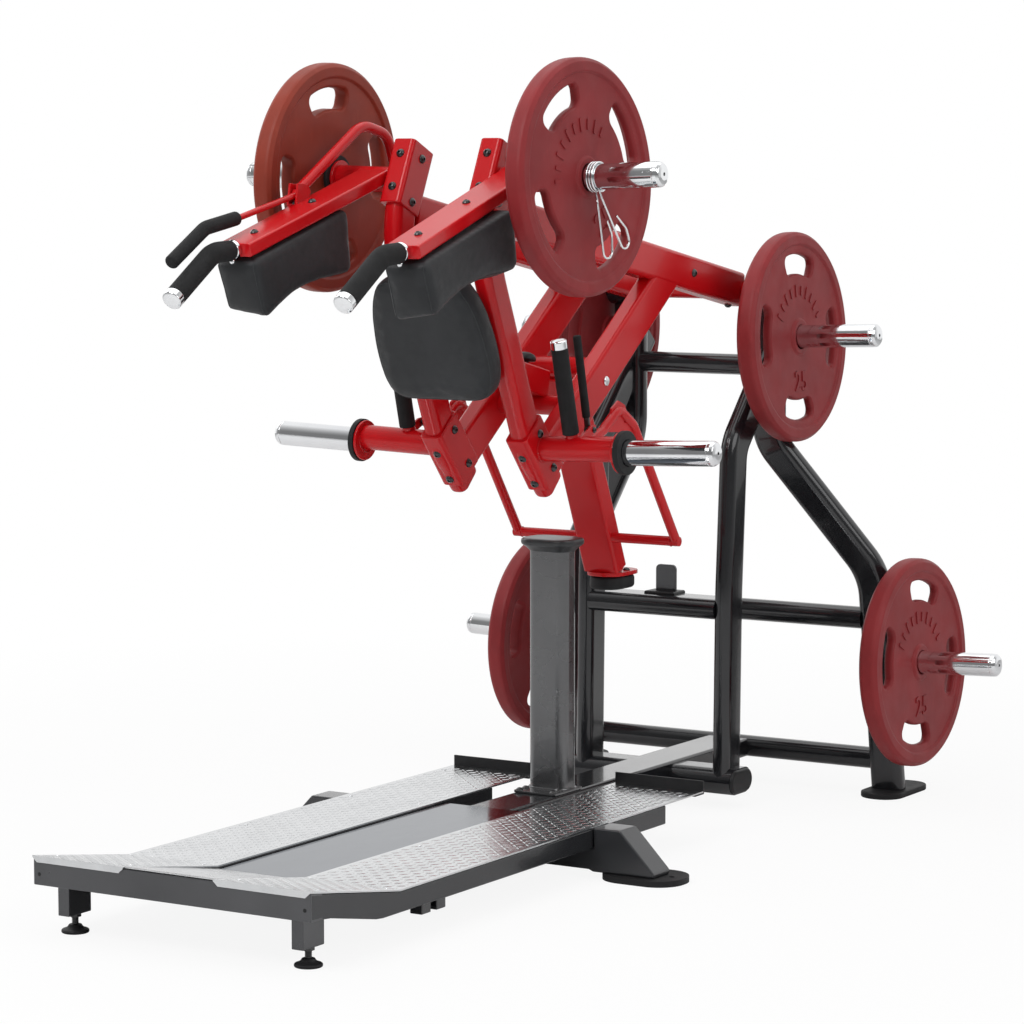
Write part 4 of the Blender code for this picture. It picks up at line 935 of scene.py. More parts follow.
# Rear frame
for s, tag in SIDES:
    path = yz([(1.742, 0.050), (1.749, 0.460), (1.768, 0.772), (1.975, 0.996)], s * UPRIGHT_X)
    path = rounded_path(path, [1.2, 0.085])
    tube = sweep(path, rounded(0.040, 0.078, 0.020, 10))
    dress(tube, "upright_%s_tube" % tag, BLACK, "frame", "upright_" + tag)
    path = rounded_path([(s * x, y, z) for x, y, z in COLUMN_PATH], [0.12, 0.16])
    body = sweep(path, rounded(0.075, 0.042, 0.018, 8))
    dress(body, "rear_column_%s_tube" % tag, BLACK, "frame", "rear_column_" + tag)
    head = pin((s * 0.135, *PIVOT), (s, 0, 0), 0.074, 0.036, 0.003, 64)
    washer = pin((s * 0.2085, *PIVOT), (s, 0, 0), 0.0024, 0.0215, 0.0008, 48)
    dress([head, washer], "column_head_" + tag, BLACK, "frame")
    sole = placed(rounded(0.096, 0.200, 0.045, 12), s * 0.404, 2.082)
    sole = eased(slab(sole, "xy", 0.0, 0.012), 0.0025)
    lip = bead(placed(rounded(0.086, 0.190, 0.040, 12), s * 0.404, 2.082), 0.0108, 0.0016)
    dress([sole, lip], "column_sole_" + tag, RUBBER, "frame")

for name, (y, z), half, radius in (("top_cross_tube", (1.925, 0.938), 0.140, 0.0225),
                                   ("rear_cross_tube", (2.040, 0.387), 0.349, 0.024),
                                   ("low_cross_tube", (2.085, 0.072), 0.366, 0.0235)):
    tube = pin((-half, y, z), ACROSS, 2 * half, radius, 0.0005, 48)
    dress(tube, name + "_body", BLACK, "frame", name)
mid = flat_tube(1.755, 0.4265, 0.100, 0.043, 0.155)
dress(mid, "mid_cross_tube_body", BLACK, "frame", "mid_cross_tube")
base = eased(block((-0.037, 1.745, 0.440), (0.037, 1.800, 0.4535)), 0.004)
dress(base, "stop_tab_base", SATIN_PLASTIC, "frame")
tab = placed(rounded(0.048, 0.080, 0.010), 0.0, 0.4690)
dress(eased(slab(tab, "xz", 1.776, 1.784), 0.0012), "stop_tab", GRAPHITE, "frame")
shaft = pin((-0.209, *PIVOT), ACROSS, 0.418, 0.012, 0.001, 48)
dress(shaft, "pivot_shaft_bar", CHROME, "frame", "pivot_shaft")
ends = [bolt((s * 0.2108, *PIVOT), (s, 0, 0), 0.0115, 0.0065) for s in (1, -1)]
dress(ends, "shaft_bolts", SEMI, "frame")


# Lever: side frames, clamps and stubs
BEAM_DROP = 0.0376


def on_beam(y):
    """The height of the beam's middle line."""
    return 1.215 - 0.178 * (y - 1.475) - BEAM_DROP


def along(start, end, t):
    return tuple(a + (b - a) * t for a, b in zip(start, end))


def clamp(s, start, end, shift, size):
    a = Vector(start)
    b = Vector(end)
    way = (b - a).normalized()
    out = Vector((-way[1], way[0])) * shift
    return sweep(yz([tuple(a + out), tuple(b + out)], s * FRAME_X), rounded(*size, 0.009), soft=0.0025)


def flange(s, spot, at, thick, radius=0.044):
    return pin((s * at, *spot), horn_axis(s), thick, radius, 0.0018, 64)


sleeve = pin((-0.133, *PIVOT), ACROSS, 0.266, 0.020, 0.0008, 48)
cut(sleeve, pin((-0.140, *PIVOT), ACROSS, 0.280, 0.0128, 0.0004, 48))
dress(sleeve, "pivot_sleeve_tube", RED, "lever", "pivot_sleeve")
top_clamp = (along(SIDE_PATH[0], SIDE_PATH[1], 0.01), along(SIDE_PATH[0], SIDE_PATH[1], 0.72))
low_clamp = ((1.020, 0.856), (1.123, 0.735))
lug_outline = [(1.075, 0.832), (1.105, 0.838), (1.128, 0.848), (1.124, 0.862), (1.106, 0.860), (1.065, 0.838)]
STUB_WELD_X = 0.1245
for s, tag in SIDES:
    path = yz([(0.926, on_beam(0.926)), (1.903, on_beam(1.903))], s * FRAME_X)
    bar = sweep(path, rounded(0.042, 0.074, 0.010, 8), soft=0.002)
    dress(bar, "lever_beam_%s_tube" % tag, RED, "lever", "lever_beam_" + tag)
    dress(clamp(s, *top_clamp, 0.001, (0.049, 0.079)), "top_clamp_" + tag, RED, "lever")
    spot = LOAD_HORN[1:3]
    axis = horn_axis(s)
    tube = pin((s * 0.110, spot[0], spot[1] - 0.005), axis, 0.144, 0.025, 0.0005, 48)
    parts = [tube, flange(s, spot, 0.252, 0.0066, 0.034),
             weld((s * STUB_WELD_X, spot[0], spot[1] - 0.0048), axis, 0.0252)]
    dress(parts, "top_stub_" + tag, RED, "lever")
    dress(flange(s, spot, 0.2587, 0.0077), "top_bumper_" + tag, RUBBER, "lever")

    path = yz([(1.592, 1.1515), (1.098, 0.7905)], s * FRAME_X)
    strut = sweep(path, rounded(0.040, 0.080, 0.009, 8), soft=0.002)
    dress(strut, "lever_strut_%s_tube" % tag, RED, "lever", "lever_strut_" + tag)
    shell = clamp(s, low_clamp[0], along(*low_clamp, 0.84), 0.003, (0.050, 0.080))
    dress(shell, "low_clamp_" + tag, RED, "lever")
    tube = pin((s * 0.110, *CROSS_LOW), horn_axis(s), 0.188, 0.025, 0.0005, 48)
    lug = slab(lug_outline, "yz", *span(s, 0.199, 0.204))
    boss = pin((s * GRIP_X, 1.0583, 0.8375), (0.0, -0.252, 0.968), 0.0105, 0.0128, 0.0015, 40)
    parts = [tube, flange(s, CROSS_LOW, 0.2948, 0.0062, 0.0405), eased(lug, 0.0012), boss,
             weld((s * STUB_WELD_X, *CROSS_LOW), (s, 0, 0), 0.0252),
             weld((s * 0.2945, *CROSS_LOW), (s, 0, 0), 0.0252, 0.0015)]
    dress(parts, "low_stub_" + tag, RED, "lever")

    path = rounded_path(yz(SIDE_PATH[:3] + (along(*low_clamp, 0.99),), s * FRAME_X), [0.25, 0.16])
    tube = sweep(path, rounded(0.040, 0.069, 0.016, 8), soft=0.009)
    dress(tube, "side_tube_%s_bar" % tag, RED, "lever", "side_tube_" + tag)

    base = Vector((s * 0.3013, *CROSS_LOW))
    length = 0.2097
    tip = [(0.0165, 0.0248), (0.0160, 0.0242), (0.0150, 0.0242), (0.0145, 0.0248), (0.009, 0.0244),
           (0.003, 0.0205), (0.0006, 0.0125), (0.0, 0.0028), (0.003, 0.0024), (0.003, 0.0)]
    profile = [(0.004, 0.0), (0.004, 0.0248)] + [(length - short, wide) for short, wide in tip]
    sleeve = lathe(profile, 0.0016, base, horn_axis(s), 64)
    dress(sleeve, "front_horn_%s_sleeve" % tag, CHROME, "lever", "front_horn_" + tag)
    ring = [(0.0, 0.020), (0.0, 0.0432), (0.0115, 0.0432), (0.0115, 0.0262), (0.0080, 0.0256),
            (0.0080, 0.020)]
    ring = lathe(ring, 0.0018, base, horn_axis(s), 64)
    dress(ring, "front_horn_%s_bumper" % tag, RUBBER, "lever")
    # A near-black disc just inside the horn's tip recess: painted shade.
    recess_shade = pin(base + horn_axis(s) * (length - 0.0010), horn_axis(s), 0.0011, 0.0030, 0.0002, 16)
    dress(recess_shade, "front_horn_%s_dimple" % tag, SHADE_DISC, "lever")

# Fasteners of the lever
SIDE_SCREWS = ((0.0745, 0.1235, ((0.930, 1.380), (0.894, 1.297))),
               (0.0740, 0.1240, ((1.044, 0.846), (1.096, 0.776))))
FRONT_SCREWS = ((top_clamp, 0.001, 0.079, (0.24, 0.76)), (low_clamp, 0.003, 0.080, (0.28, 0.72)))
for s, tag in SIDES:
    bolts = []
    for ends, shift, size, spots in FRONT_SCREWS:
        a = Vector(ends[0])
        b = Vector(ends[1])
        run = (b - a).normalized()
        out = Vector((-run[1], run[0]))
        forward = out if out.x < 0 else -out
        for t in spots:
            spot = a.lerp(b, t) + out * shift + forward * size / 2
            bolts.append(bolt((s * FRAME_X, *spot), (0.0, *forward), 0.0088, 0.0062))
    for inner, outer, spots in SIDE_SCREWS:
        for spot in spots:
            bolts += [bolt((s * inner, *spot), (-s, 0, 0), 0.0088, 0.0062),
                      bolt((s * outer, *spot), (s, 0, 0), 0.0088, 0.0062)]
    bolts.append(bolt((s * 0.120, 1.677, 1.143), (s, 0, 0), 0.0088, 0.0062))
    under_way = Vector((0.0, -0.175, -0.985))
    bolts.append(bolt((s * FRAME_X, 1.870, on_beam(1.870) - BEAM_DROP), under_way, 0.0080, 0.0060))
    arm_up = Vector((0.0, -0.300, 0.954))
    for y, z in ((0.699, 1.300), (0.523, 1.246)):
        t = (y - ARM_FRONT[1]) / (ARM_REAR[1] - ARM_FRONT[1])
        x, _, middle = along(ARM_FRONT, ARM_REAR, t)
        bolts.append(bolt((s * x, y, middle + 0.0136), arm_up, 0.0080, 0.0056))
    dress(bolts, "lever_bolts_" + tag, SEMI, "lever")
    strut_pin = [(-0.010, 0.0), (-0.010, 0.0100), (0.0026, 0.0100), (0.0040, 0.0080), (0.0040, 0.0)]
    strut_pin = lathe(strut_pin, 0.0006, (s * 0.119, 1.310, 0.935), (s, 0, 0), 40)
    dress(strut_pin, "strut_pin_" + tag, STEEL, "lever")

# Mast with the rod brace, bumper and back-pad bracket
mast = sweep(yz([(1.335, 0.940), (1.515, 0.528)]), rounded(0.083, 0.044, 0.007, 8), soft=0.002)
tie = pin((-0.0787, 1.335, 0.956), ACROSS, 0.1574, 0.024, 0.0005, 48)
outline = placed(rounded(0.084, 0.122, 0.038, 10), 0.0, 1.546)
foot_flange = eased(slab(outline, "xy", 0.512, 0.5205), 0.0012)
gusset = [(1.505, 0.516), (1.590, 0.516), (1.580, 0.526), (1.500, 0.615)]
gusset = eased(slab(gusset, "yz", -0.004, 0.004), 0.001)
dress([mast, tie, foot_flange, gusset], "mast_tube", RED, "lever", "mast_and_brace")
rods = []
for s in (1, -1):
    path = yz([(1.075, 0.812), (1.175, 0.846), (1.238, 0.886), (1.296, 0.850), (1.476, 0.600)], s * BRACE_X)
    rods.append(rod(rounded_path(path, 0.028), 0.010))
bar = pin((-BRACE_X - 0.009, 1.476, 0.598), ACROSS, 2 * BRACE_X + 0.018, 0.010, 0.001)
corner_beads = [weld((s * (BRACE_X - 0.0105), 1.476, 0.598), ACROSS, 0.0102, 0.0012) for s in (1, -1)]
dress([*rods, bar, *corner_beads], "rod_brace", RED, "lever")
corner = [(1.196, 0.842), (1.290, 0.836), (1.262, 0.892), (1.236, 0.902), (1.210, 0.888)]
holes = [circle(0.0042, 18, *spot) for spot in ((1.222, 0.866), (1.244, 0.886), (1.262, 0.860))]
plates = [eased(slab(corner, "yz", *span(s, 0.187, 0.191), holes), 0.0008, 2) for s in (1, -1)]
dress(plates, "brace_gussets", RED, "lever")
outline = placed(rounded(0.076, 0.110, 0.036, 10), 0.0, 1.544)
bumper = eased(slab(outline, "xy", 0.483, 0.5117), 0.0085, 5, 50.0)
dress(bumper, "rubber_bumper_block", RUBBER, "lever", "rubber_bumper")
heads = [bolt((x, 1.560, 0.5205), UP, 0.0078, 0.005) for x in (-0.026, 0.026)]
dress(heads, "flange_bolts", SEMI, "lever")

TILT = radians(22.4)
normal = Vector((0.0, cos(TILT), sin(TILT)))
rise = Vector((0.0, -sin(TILT), cos(TILT)))
centre = Vector((0.0, 0.856, 1.038))
rear = centre + normal * 0.0303
backing = sweep([rear, rear + normal * 0.006], rounded(0.110, 0.150, 0.008), soft=0.0012)
start = rear + normal * 0.004 - rise * 0.004
stalk = sweep([start, *yz([(1.000, 0.984), (1.236, 0.930)])], rounded(0.060, 0.056, 0.005, 6), soft=0.001)
cross = pin((-0.0787, 1.232, 0.888), ACROSS, 0.1574, 0.020, 0.0005, 40)
dress([backing, stalk, cross], "back_pad_bracket_tube", RED, "lever", "back_pad_bracket")
knob = [(0.0, 0.0), (0.0, 0.007), (0.012, 0.007), (0.0135, 0.019), (0.0155, 0.0212), (0.021, 0.0210),
        (0.0265, 0.0175), (0.0305, 0.009), (0.031, 0.0)]
knob = lathe(knob, 0.0015, (0.0, 1.190, 0.965), (0.0, 0.22, 0.975), 64)
dress(knob, "bracket_knob", SATIN_PLASTIC, "lever")
screws = [bolt(rear + normal * 0.006 + rise * b + Vector((a, 0, 0)), normal, 0.0065, 0.0040)
          for a in (-0.043, 0.043) for b in (-0.060, 0.060)]
dress(screws, "backing_screws", SEMI, "lever")


# Upholstery
BOARD_SPOT = (0.62, 1.2445)
BOARD_SLOPE = 0.3125
SEAM_RADIUS = 0.0009
COVER_SLACK = 0.0022


def inset_outline(points, amount):
    count = len(points)
    result = []
    for i in range(count):
        ax, ay = points[i - 1]
        bx, by = points[(i + 1) % count]
        length = hypot(bx - ax, by - ay)
        result.append((points[i][0] + TURN * amount * (by - ay) / length,
                       points[i][1] - TURN * amount * (bx - ax) / length))
    return result


def winding(points):
    count = len(points)
    area = sum(points[i][0] * points[(i + 1) % count][1] - points[(i + 1) % count][0] * points[i][1]
               for i in range(count))
    return -1.0 if area > 0 else 1.0


def evened(points, count):
    runs = []
    reach = 0.0
    for i, point in enumerate(points):
        a = Vector(point)
        b = Vector(points[(i + 1) % len(points)])
        runs.append((reach, (b - a).length, a, b))
        reach += (b - a).length
    result = []
    for k in range(count):
        want = reach * k / count
        for low, length, a, b in runs:
            if low <= want <= low + length:
                spot = a.lerp(b, (want - low) / length)
                result.append((spot.x, spot.y))
                break
    return result


def softened_outline(points, radius):
    """The closed outline with its corners rounded."""
    steps = 6
    result = []
    count = len(points)
    for i in range(count):
        here = Vector(points[i])
        back = Vector(points[i - 1]) - here
        ahead = Vector(points[(i + 1) % count]) - here
        reach = min(radius, back.length * 0.45, ahead.length * 0.45)
        a = here + back.normalized() * reach
        b = here + ahead.normalized() * reach
        for k in range(steps + 1):
            t = k / steps
            result.append(tuple(a * (1 - t) ** 2 + here * 2 * t * (1 - t) + b * t ** 2))
    return result


def pad_form(outline, thick, edge, crown, place):
    """The foam block under the cover, a little smaller than the finished pad."""
    half = thick / 2
    layers = []
    for k in range(6):
        a = pi / 2 * k / 5
        layers.append((half - edge * (1 - cos(a)), edge * (1 - sin(a))))
    rings_of = layers + [(-depth, inset) for depth, inset in layers[::-1]]
    cx = sum(a for a, b in outline) / len(outline)
    cy = sum(b for a, b in outline) / len(outline)
    bm = bmesh.new()
    rings = [[bm.verts.new(place(a, b, depth)) for a, b in inset_outline(outline, inset)]
             for depth, inset in rings_of]
    bridge(bm, rings)
    inner_edge = inset_outline(outline, edge)
    for rim, sign in ((rings[0], 1.0), (rings[-1], -1.0)):
        loops = [rim]
        for scale, lift in ((0.85, 0.4), (0.60, 0.8), (0.30, 1.0)):
            depth = sign * (half + crown * lift)
            loops.append([bm.verts.new(place(cx + (a - cx) * scale, cy + (b - cy) * scale, depth))
                          for a, b in inner_edge])
        bridge(bm, loops)
        bm.faces.new(loops[-1])
    return solid(bm)


def upholstered(obj, cap, held):
    """Blow the cover up with cloth pressure, hold its board side and limit how far any point moves."""
    remesh = obj.modifiers.new("voxels", "REMESH")
    remesh.mode = "VOXEL"
    remesh.voxel_size = 0.0055
    settle(obj)
    rest = [vertex.co.copy() for vertex in obj.data.vertices]
    pins = obj.vertex_groups.new(name="board")
    pins.add([i for i, co in enumerate(rest) if held(co)], 1.0, "REPLACE")
    cloth = obj.modifiers.new("cover", "CLOTH").settings
    cloth.quality = 5
    cloth.mass = 0.3
    cloth.tension_stiffness = 20.0
    cloth.compression_stiffness = 20.0
    cloth.shear_stiffness = 8.0
    cloth.bending_stiffness = 1.5
    cloth.use_pressure = True
    cloth.uniform_pressure_force = 2.5
    cloth.vertex_group_mass = "board"
    cloth.effector_weights.gravity = 0.0
    for step in range(1, 21):
        bpy.context.scene.frame_set(step)
    mesh = evaluated(obj)
    moved = [vertex.co.copy() for vertex in mesh.vertices]
    bpy.data.meshes.remove(mesh)
    obj.modifiers.clear()
    bpy.context.scene.frame_set(1)
    for vertex, old, new in zip(obj.data.vertices, rest, moved):
        shift = new - old
        if shift.length > cap:
            shift = shift.normalized() * cap
        vertex.co = old + shift
    obj.modifiers.new("smooth", "SMOOTH").iterations = 6
    obj.modifiers.new("fine", "SUBSURF").levels = 1
    return settle(obj)


def above_board(co, drop):
    """Whether a point of a shoulder pad lies over the line of its board, which lies under the arm."""
    return co.z > BOARD_SPOT[1] + BOARD_SLOPE * (co.y - BOARD_SPOT[0]) - drop


def seam(surface, path, closed=True):
    """A raised stitched edge laid on the cover along a path."""
    bm = bmesh.new()
    bm.from_mesh(surface.data)
    tree = BVHTree.FromBMesh(bm)
    bm.free()
    points = []
    for point in path + (path[:1] if closed else []):
        spot, facing, _, _ = tree.find_nearest(point)
        points.append(spot + facing * SEAM_RADIUS * 0.1)
    return rod(points, SEAM_RADIUS, 0.0, 3)


for s, tag in SIDES:
    profile = [
        (0.463, 1.188), (0.480, 1.2005), (0.620, 1.2445), (0.764, 1.2895), (0.780, 1.280), (0.788, 1.230),
        (0.795, 1.182), (0.782, 1.173), (0.740, 1.166), (0.690, 1.161), (0.640, 1.151), (0.600, 1.139),
        (0.560, 1.120), (0.520, 1.099), (0.505, 1.096), (0.497, 1.103), (0.480, 1.144)]
    outline = evened(softened_outline(profile, 0.006), 90)
    TURN = winding(outline)

    def lean(a, b, d, s=s):
        low = min(1.0, max(0.0, (BOARD_SPOT[1] + 0.314 * (a - BOARD_SPOT[0]) - b) / 0.10))
        return s * PAD_X + d, a, b - 0.014 * low * (0.5 - s * d / 0.098)

    shape = pad_form(inset_outline(outline, COVER_SLACK), 0.0900, 0.0085, 0.0005, lean)
    pad = upholstered(shape, 0.0024, lambda co: above_board(co, 0.006))
    pieces = []
    for d in (-0.0425, 0.0425):
        path = [Vector(lean(a, b, d)) for a, b in inset_outline(outline, 0.0)]
        path = [p for p in path if not above_board(p, 0.004)]
        first = max(range(len(path)), key=lambda i: (path[i] - path[i - 1]).length)
        path = path[first:] + path[:first]
        pieces.append(seam(pad, path, False))
    dress(pieces, "shoulder_pad_%s_seams" % tag, VINYL_EDGE, "lever")
    dress(pad, "shoulder_pad_%s_cover" % tag, VINYL, "lever", "shoulder_pad_" + tag, smooth=80)

half_w = 0.132
side_line = [(0.36, 0.5), (0.58, 0.492), (0.74, 0.455), (0.85, 0.36), (0.94, 0.22), (0.985, 0.05),
             (1.0, -0.08), (0.995, -0.20), (0.96, -0.32), (0.88, -0.42), (0.74, -0.475), (0.56, -0.496),
             (0.40, -0.5)]
side_line = [(half_w * a, 0.262 * b) for a, b in side_line]
outline = evened(softened_outline(side_line + [(-a, b) for a, b in side_line[::-1]], 0.02), 96)
TURN = winding(outline)


def on_back(a, b, d):
    return centre + Vector((a, 0, 0)) + rise * b + normal * d


shape = pad_form(inset_outline(outline, COVER_SLACK), 0.0500, 0.0140, 0.0025, on_back)
pad = upholstered(shape, 0.0028, lambda co: (co - centre).dot(normal) > 0.021)
pieces = [seam(pad, [on_back(a, b, d) for a, b in inset_outline(outline, inset)])
          for d, inset in ((-0.0215, 0.0045), (0.020, 0.004))]
dress(pieces, "back_pad_seams", VINYL_EDGE, "lever")
dress(pad, "back_pad_cover", VINYL, "lever", "back_pad", smooth=80)

# Shoulder arms, handles, grips and squeeze levers
SQUEEZE_AXLE = (1.117, 0.852)
for s, tag in SIDES:
    start = Vector((s * ARM_FRONT[0], *ARM_FRONT[1:]))
    end = Vector((s * ARM_REAR[0], *ARM_REAR[1:]))
    arm = sweep([start, end], rounded(0.075, 0.026, 0.005, 6), soft=0.002)
    dress(arm, "shoulder_arm_%s_tube" % tag, RED, "lever", "shoulder_arm_" + tag)
    back = (start - end).normalized()
    root = start + back * 0.0013 + Vector((0.0, 0.0, 0.003))
    bends = [root + back * 0.010, (s * PAD_X, 0.400, 1.2080), (s * PAD_X, 0.272, 1.1230)]
    path = [root] + rounded_path(bends, 0.070)
    way = (Vector(path[-1]) - Vector(path[-2])).normalized()
    tip = Vector(path[-1])
    path[-1] = tip - way * 0.016
    sheath = rod([root + back * 0.012] + path[2:], 0.0195, 0.003, 10)
    dress(sheath, "handle_%s_foam" % tag, FOAM, "lever", "handle_" + tag)
    cap = [(-0.0175, 0.0), (-0.0175, 0.0192), (-0.0030, 0.0192), (-0.0008, 0.0150), (0.0, 0.0085), (0.0, 0.0)]
    cap = lathe(cap, 0.0016, tip, way, 64, 4)
    dress(cap, "handle_%s_cap" % tag, CHROME, "lever")
    ring = [(0.0, 0.0), (0.0, 0.0165), (0.0015, 0.0182), (0.0095, 0.0182), (0.0115, 0.0165), (0.0115, 0.0)]
    ring = lathe(ring, 0.0010, root, back, 48)
    bm = bmesh.new()
    bmesh.ops.create_uvsphere(bm, u_segments=32, v_segments=20, radius=0.0056,
                              matrix=Matrix.Translation(root + back * 0.006 + Vector((0, 0, -0.0212))))
    dress([ring, solid(bm)], "handle_%s_collar" % tag, CHROME, "lever")

    low = Vector((s * GRIP_X, 1.0540, 0.8395))
    high = Vector((s * GRIP_X, 1.0030, 1.0330))
    way = (high - low).normalized()
    sheath = rod([low + way * 0.009, high - way * 0.016], 0.0165, 0.002, 10)
    dress(sheath, "grip_%s_foam" % tag, FOAM, "lever", "grip_" + tag)
    cap = [(-0.0185, 0.0), (-0.0185, 0.0162), (-0.0025, 0.0162), (-0.0006, 0.0120), (0.0, 0.0060), (0.0, 0.0)]
    cap = lathe(cap, 0.0014, high, way, 64, 4)
    dress(cap, "grip_%s_cap" % tag, CHROME, "lever")

    body = "squeeze_lever_" + tag
    low = Vector((s * GRIP_X, 1.1182, 0.8468))
    high = Vector((s * GRIP_X, 1.0735, 1.0380))
    way = (high - low).normalized()
    dress(rod([low + way * 0.030, high], 0.0082, 0.003, 8), body + "_sheath", FOAM, body, body)
    root_bar = rod([low + way * 0.001, low + way * 0.033], 0.0060, 0.001, 6)
    eye = pin((s * GRIP_X - 0.0045, *SQUEEZE_AXLE), ACROSS, 0.009, 0.0085, 0.001, 40)
    dress([root_bar, eye], body + "_root", SEMI, body)
    axle = pin((s * 0.1895, *SQUEEZE_AXLE), (s, 0, 0), 0.0165, 0.0040, 0.0005, 24)
    head = bolt((s * 0.2040, *SQUEEZE_AXLE), (s, 0, 0), 0.0065, 0.0042)
    dress([axle, head], "squeeze_axle_" + tag, SEMI, "lever")

# Release handle and the guard hoop on the far side
RELEASE_X = -0.210
HOOP_X = -0.2185
RELEASE_AXLE = (0.701, 1.3125)
path = rounded_path(yz([(0.305, 1.192), (0.408, 1.253), (0.520, 1.272), RELEASE_AXLE], RELEASE_X), 0.05)
release = rod(path, 0.0060, 0.001)
eye = pin((RELEASE_X - 0.006, *RELEASE_AXLE), ACROSS, 0.012, 0.010, 0.0012, 40)
dress([release, eye], "release_rod", RED, "release_handle", "release_handle")
path = rounded_path(yz([(0.303, 1.191), (0.408, 1.253), (0.507, 1.270)], RELEASE_X), 0.05)
dress(rod(path, 0.0135, 0.005, 10), "release_sheath", FOAM, "release_handle")
path = [(0.7145, 1.3175), (0.935, 1.448), (1.026, 1.428), (1.056, 1.352), (1.010, 1.334), (0.926, 1.342)]
hoop = rod(rounded_path(yz(path, HOOP_X), [0.080, 0.055, 0.018, 0.018]), 0.0108, 0.001, 8)
ear = [(0.682, 1.292), (0.718, 1.292), (0.732, 1.318), (0.722, 1.332), (0.690, 1.334)]
ears = [eased(slab(ear, "yz", low, low + 0.005), 0.0012) for low in (-0.2217, -0.2035)]
strap = eased(block((-0.2217, 0.684, 1.2805), (-0.1875, 0.716, 1.2955)), 0.002)
dress([hoop, *ears, strap], "hoop_rod", RED, "lever", "guard_hoop")
heads = [bolt((-0.2217, *RELEASE_AXLE), (-1, 0, 0), 0.0075, 0.005),
         bolt((-0.205, 0.690, 1.2955), (0, -0.29, 0.957), 0.0070, 0.0048)]
dress(heads, "hoop_bolts", SEMI, "lever")


# Spring collar
def collar_path():
    face, y, z, tip = LOAD_HORN
    axis = horn_axis(1)
    base = Vector((face, y, z)) + axis * (PLATE_THICK + 0.0085)
    up = (Vector((0, 0, 1)) - axis * axis.z).normalized()
    fore = axis.cross(up)
    steps = 150
    sweep_angle = 3 * tau + 0.7
    radius = HORN_RADIUS + 0.0028
    coil = []
    for i in range(steps + 1):
        turn = sweep_angle * i / steps - pi / 2 - 0.35
        lift = 0.0058 * sweep_angle / tau * i / steps
        coil.append(base + axis * lift + fore * radius * cos(turn) + up * radius * sin(turn))
    first = coil[0]
    last = coil[-1]

    def hook(start, spots):
        """An open wire hook: a long leg, a turn at the bottom and a short way back up."""
        return rounded_path([start, *spots], [0.010, 0.014, 0.014, 0.022], 8)

    head = hook(first, [(0.331, 0.909, 1.300), (0.334, 0.930, 1.193), (0.334, 0.961, 1.193),
                        (0.335, 0.957, 1.238), (0.335, 0.939, 1.264)])
    tail = hook(last, [(0.341, 0.911, 1.303), (0.343, 0.984, 1.211), (0.343, 1.018, 1.210),
                       (0.343, 0.998, 1.248), (0.343, 0.960, 1.273)])
    return head[::-1] + coil[1:-1] + tail


dress(rod(collar_path(), 0.0022, 0.0008, 5), "spring_collar_wire", CHROME, "spring_collar", "spring_collar")

# Floor, light and camera
bm = bmesh.new()
bmesh.ops.create_grid(bm, x_segments=1, y_segments=1, size=14.0)
floor = solid(bm)
floor.name = "floor"
floor.location.z = -0.0006
floor.data.materials.append(bpy.data.materials.new("pale_floor"))
pale = Nodes(floor.data.materials[0])
shader = pale.tree.nodes["Principled BSDF"]
pale.feed(shader.inputs["Base Color"], (0.86, 0.86, 0.86, 1.0))
pale.feed(shader.inputs["Roughness"], 0.9)
away = pale.add("VectorMath", {0: pale.add("TexCoord", {})["Object"]}, operation="LENGTH")["Value"]
fade = pale.add("MapRange", {0: away, 1: 1.3, 2: 3.2, 3: 0.90, 4: 1.0})[0]
seen = pale.add("LightPath", {})["Is Camera Ray"]
share = pale.add("Math", {0: seen, 1: fade}, operation="MULTIPLY")[0]
glow = pale.add("Emission", {"Color": (1.0, 1.0, 1.0, 1.0)})[0]
surface = pale.add("MixShader", {0: share, 1: shader.outputs[0], 2: glow})[0]
pale.feed(pale.tree.nodes["Material Output"].inputs["Surface"], surface)

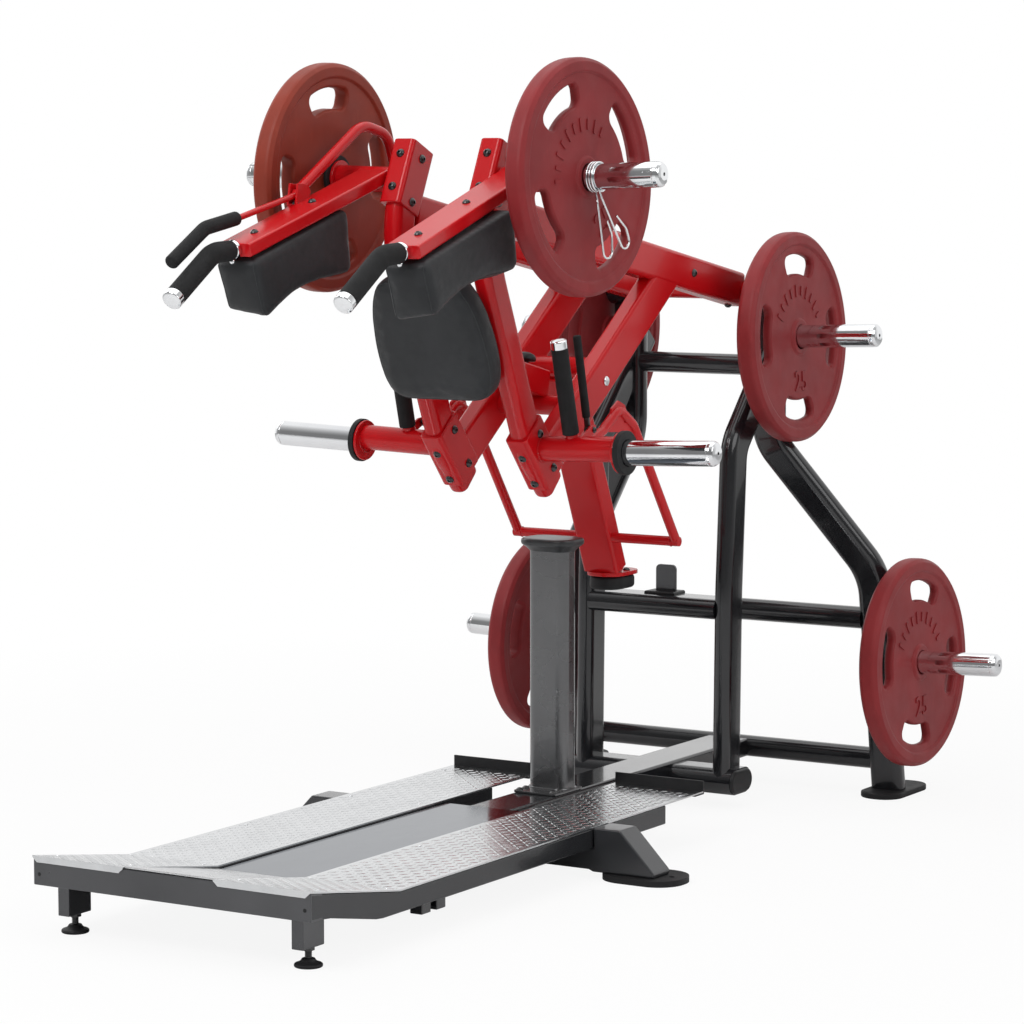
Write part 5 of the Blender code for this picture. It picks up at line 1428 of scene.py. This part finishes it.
# A white room, dimmer in front and half lit from the ceiling, where only reflections see the difference
world = bpy.data.worlds.new("studio")
bpy.context.scene.world = world
room = Nodes(world)
backdrop = room.tree.nodes["Background"].inputs
room.feed(backdrop["Color"], (1.0, 1.0, 1.0, 1.0))
ray = room.add("LightPath", {})
seen = room.add("Math", {0: ray["Is Camera Ray"], 1: ray["Is Transmission Ray"]}, operation="MAXIMUM")[0]
way = room.add("TexCoord", {})["Generated"]
behind = room.add("VectorMath", {0: way, 1: (-0.524, 0.852, 0.0)}, operation="DOT_PRODUCT")["Value"]
wall = room.add("MapRange", {0: behind, 1: -0.35, 2: 0.35, 3: 0.22, 4: 1.0})[0]
height = room.add("SeparateXYZ", {0: way})["Z"]
roof = room.add("MapRange", {0: height, 1: 0.45, 2: 0.80, 3: 0.0, 4: 0.62})[0]
studio = room.add("Math", {0: wall, 1: roof}, operation="MAXIMUM")[0]
inside = room.add("Mix", {0: ray["Is Glossy Ray"], 2: 0.40, 3: studio})[0]
room.feed(backdrop["Strength"], room.add("Math", {0: seen, 1: inside}, operation="MAXIMUM")[0])


def softbox(name, spot, target, width, height, power):
    lamp = bpy.data.lights.new(name, "AREA")
    lamp.shape = "RECTANGLE"
    lamp.size = width
    lamp.size_y = height
    lamp.energy = power
    obj = bpy.data.objects.new(name, lamp)
    bpy.context.scene.collection.objects.link(obj)
    obj.location = spot
    obj.rotation_euler = (Vector(target) - Vector(spot)).to_track_quat("-Z", "Y").to_euler()
    return obj


softbox("key", (-0.6, -4.2, 4.2), (0.0, 0.0, 0.7), 2.6, 2.0, 125.0)
softbox("near_side", (4.4, -0.6, 3.2), (0.0, 0.0, 0.7), 3.6, 2.4, 58.0)
softbox("overhead", (0.0, 0.4, 4.6), (0.0, 0.2, 0.6), 4.6, 4.6, 55.0)
softbox("far_side", (-4.2, 0.8, 3.2), (0.0, 0.0, 0.8), 3.2, 2.0, 38.0)

camera = bpy.data.cameras.new("camera")
camera.lens = 120.2345
camera.sensor_width = 36.0
camera.clip_end = 100.0
eye = bpy.data.objects.new("camera", camera)
bpy.context.scene.collection.objects.link(eye)
camera_axes = ((0.851831933, 0.523815065, -0.000367226), (-0.05200737, 0.08527233, 0.99499943),
               (0.521227, -0.84755319, 0.09987994))
eye.matrix_world = frame_at((3.56860232, -5.79412292, 1.36136306), *camera_axes)
bpy.context.scene.camera = eye
bpy.context.scene.view_settings.view_transform = "Standard"
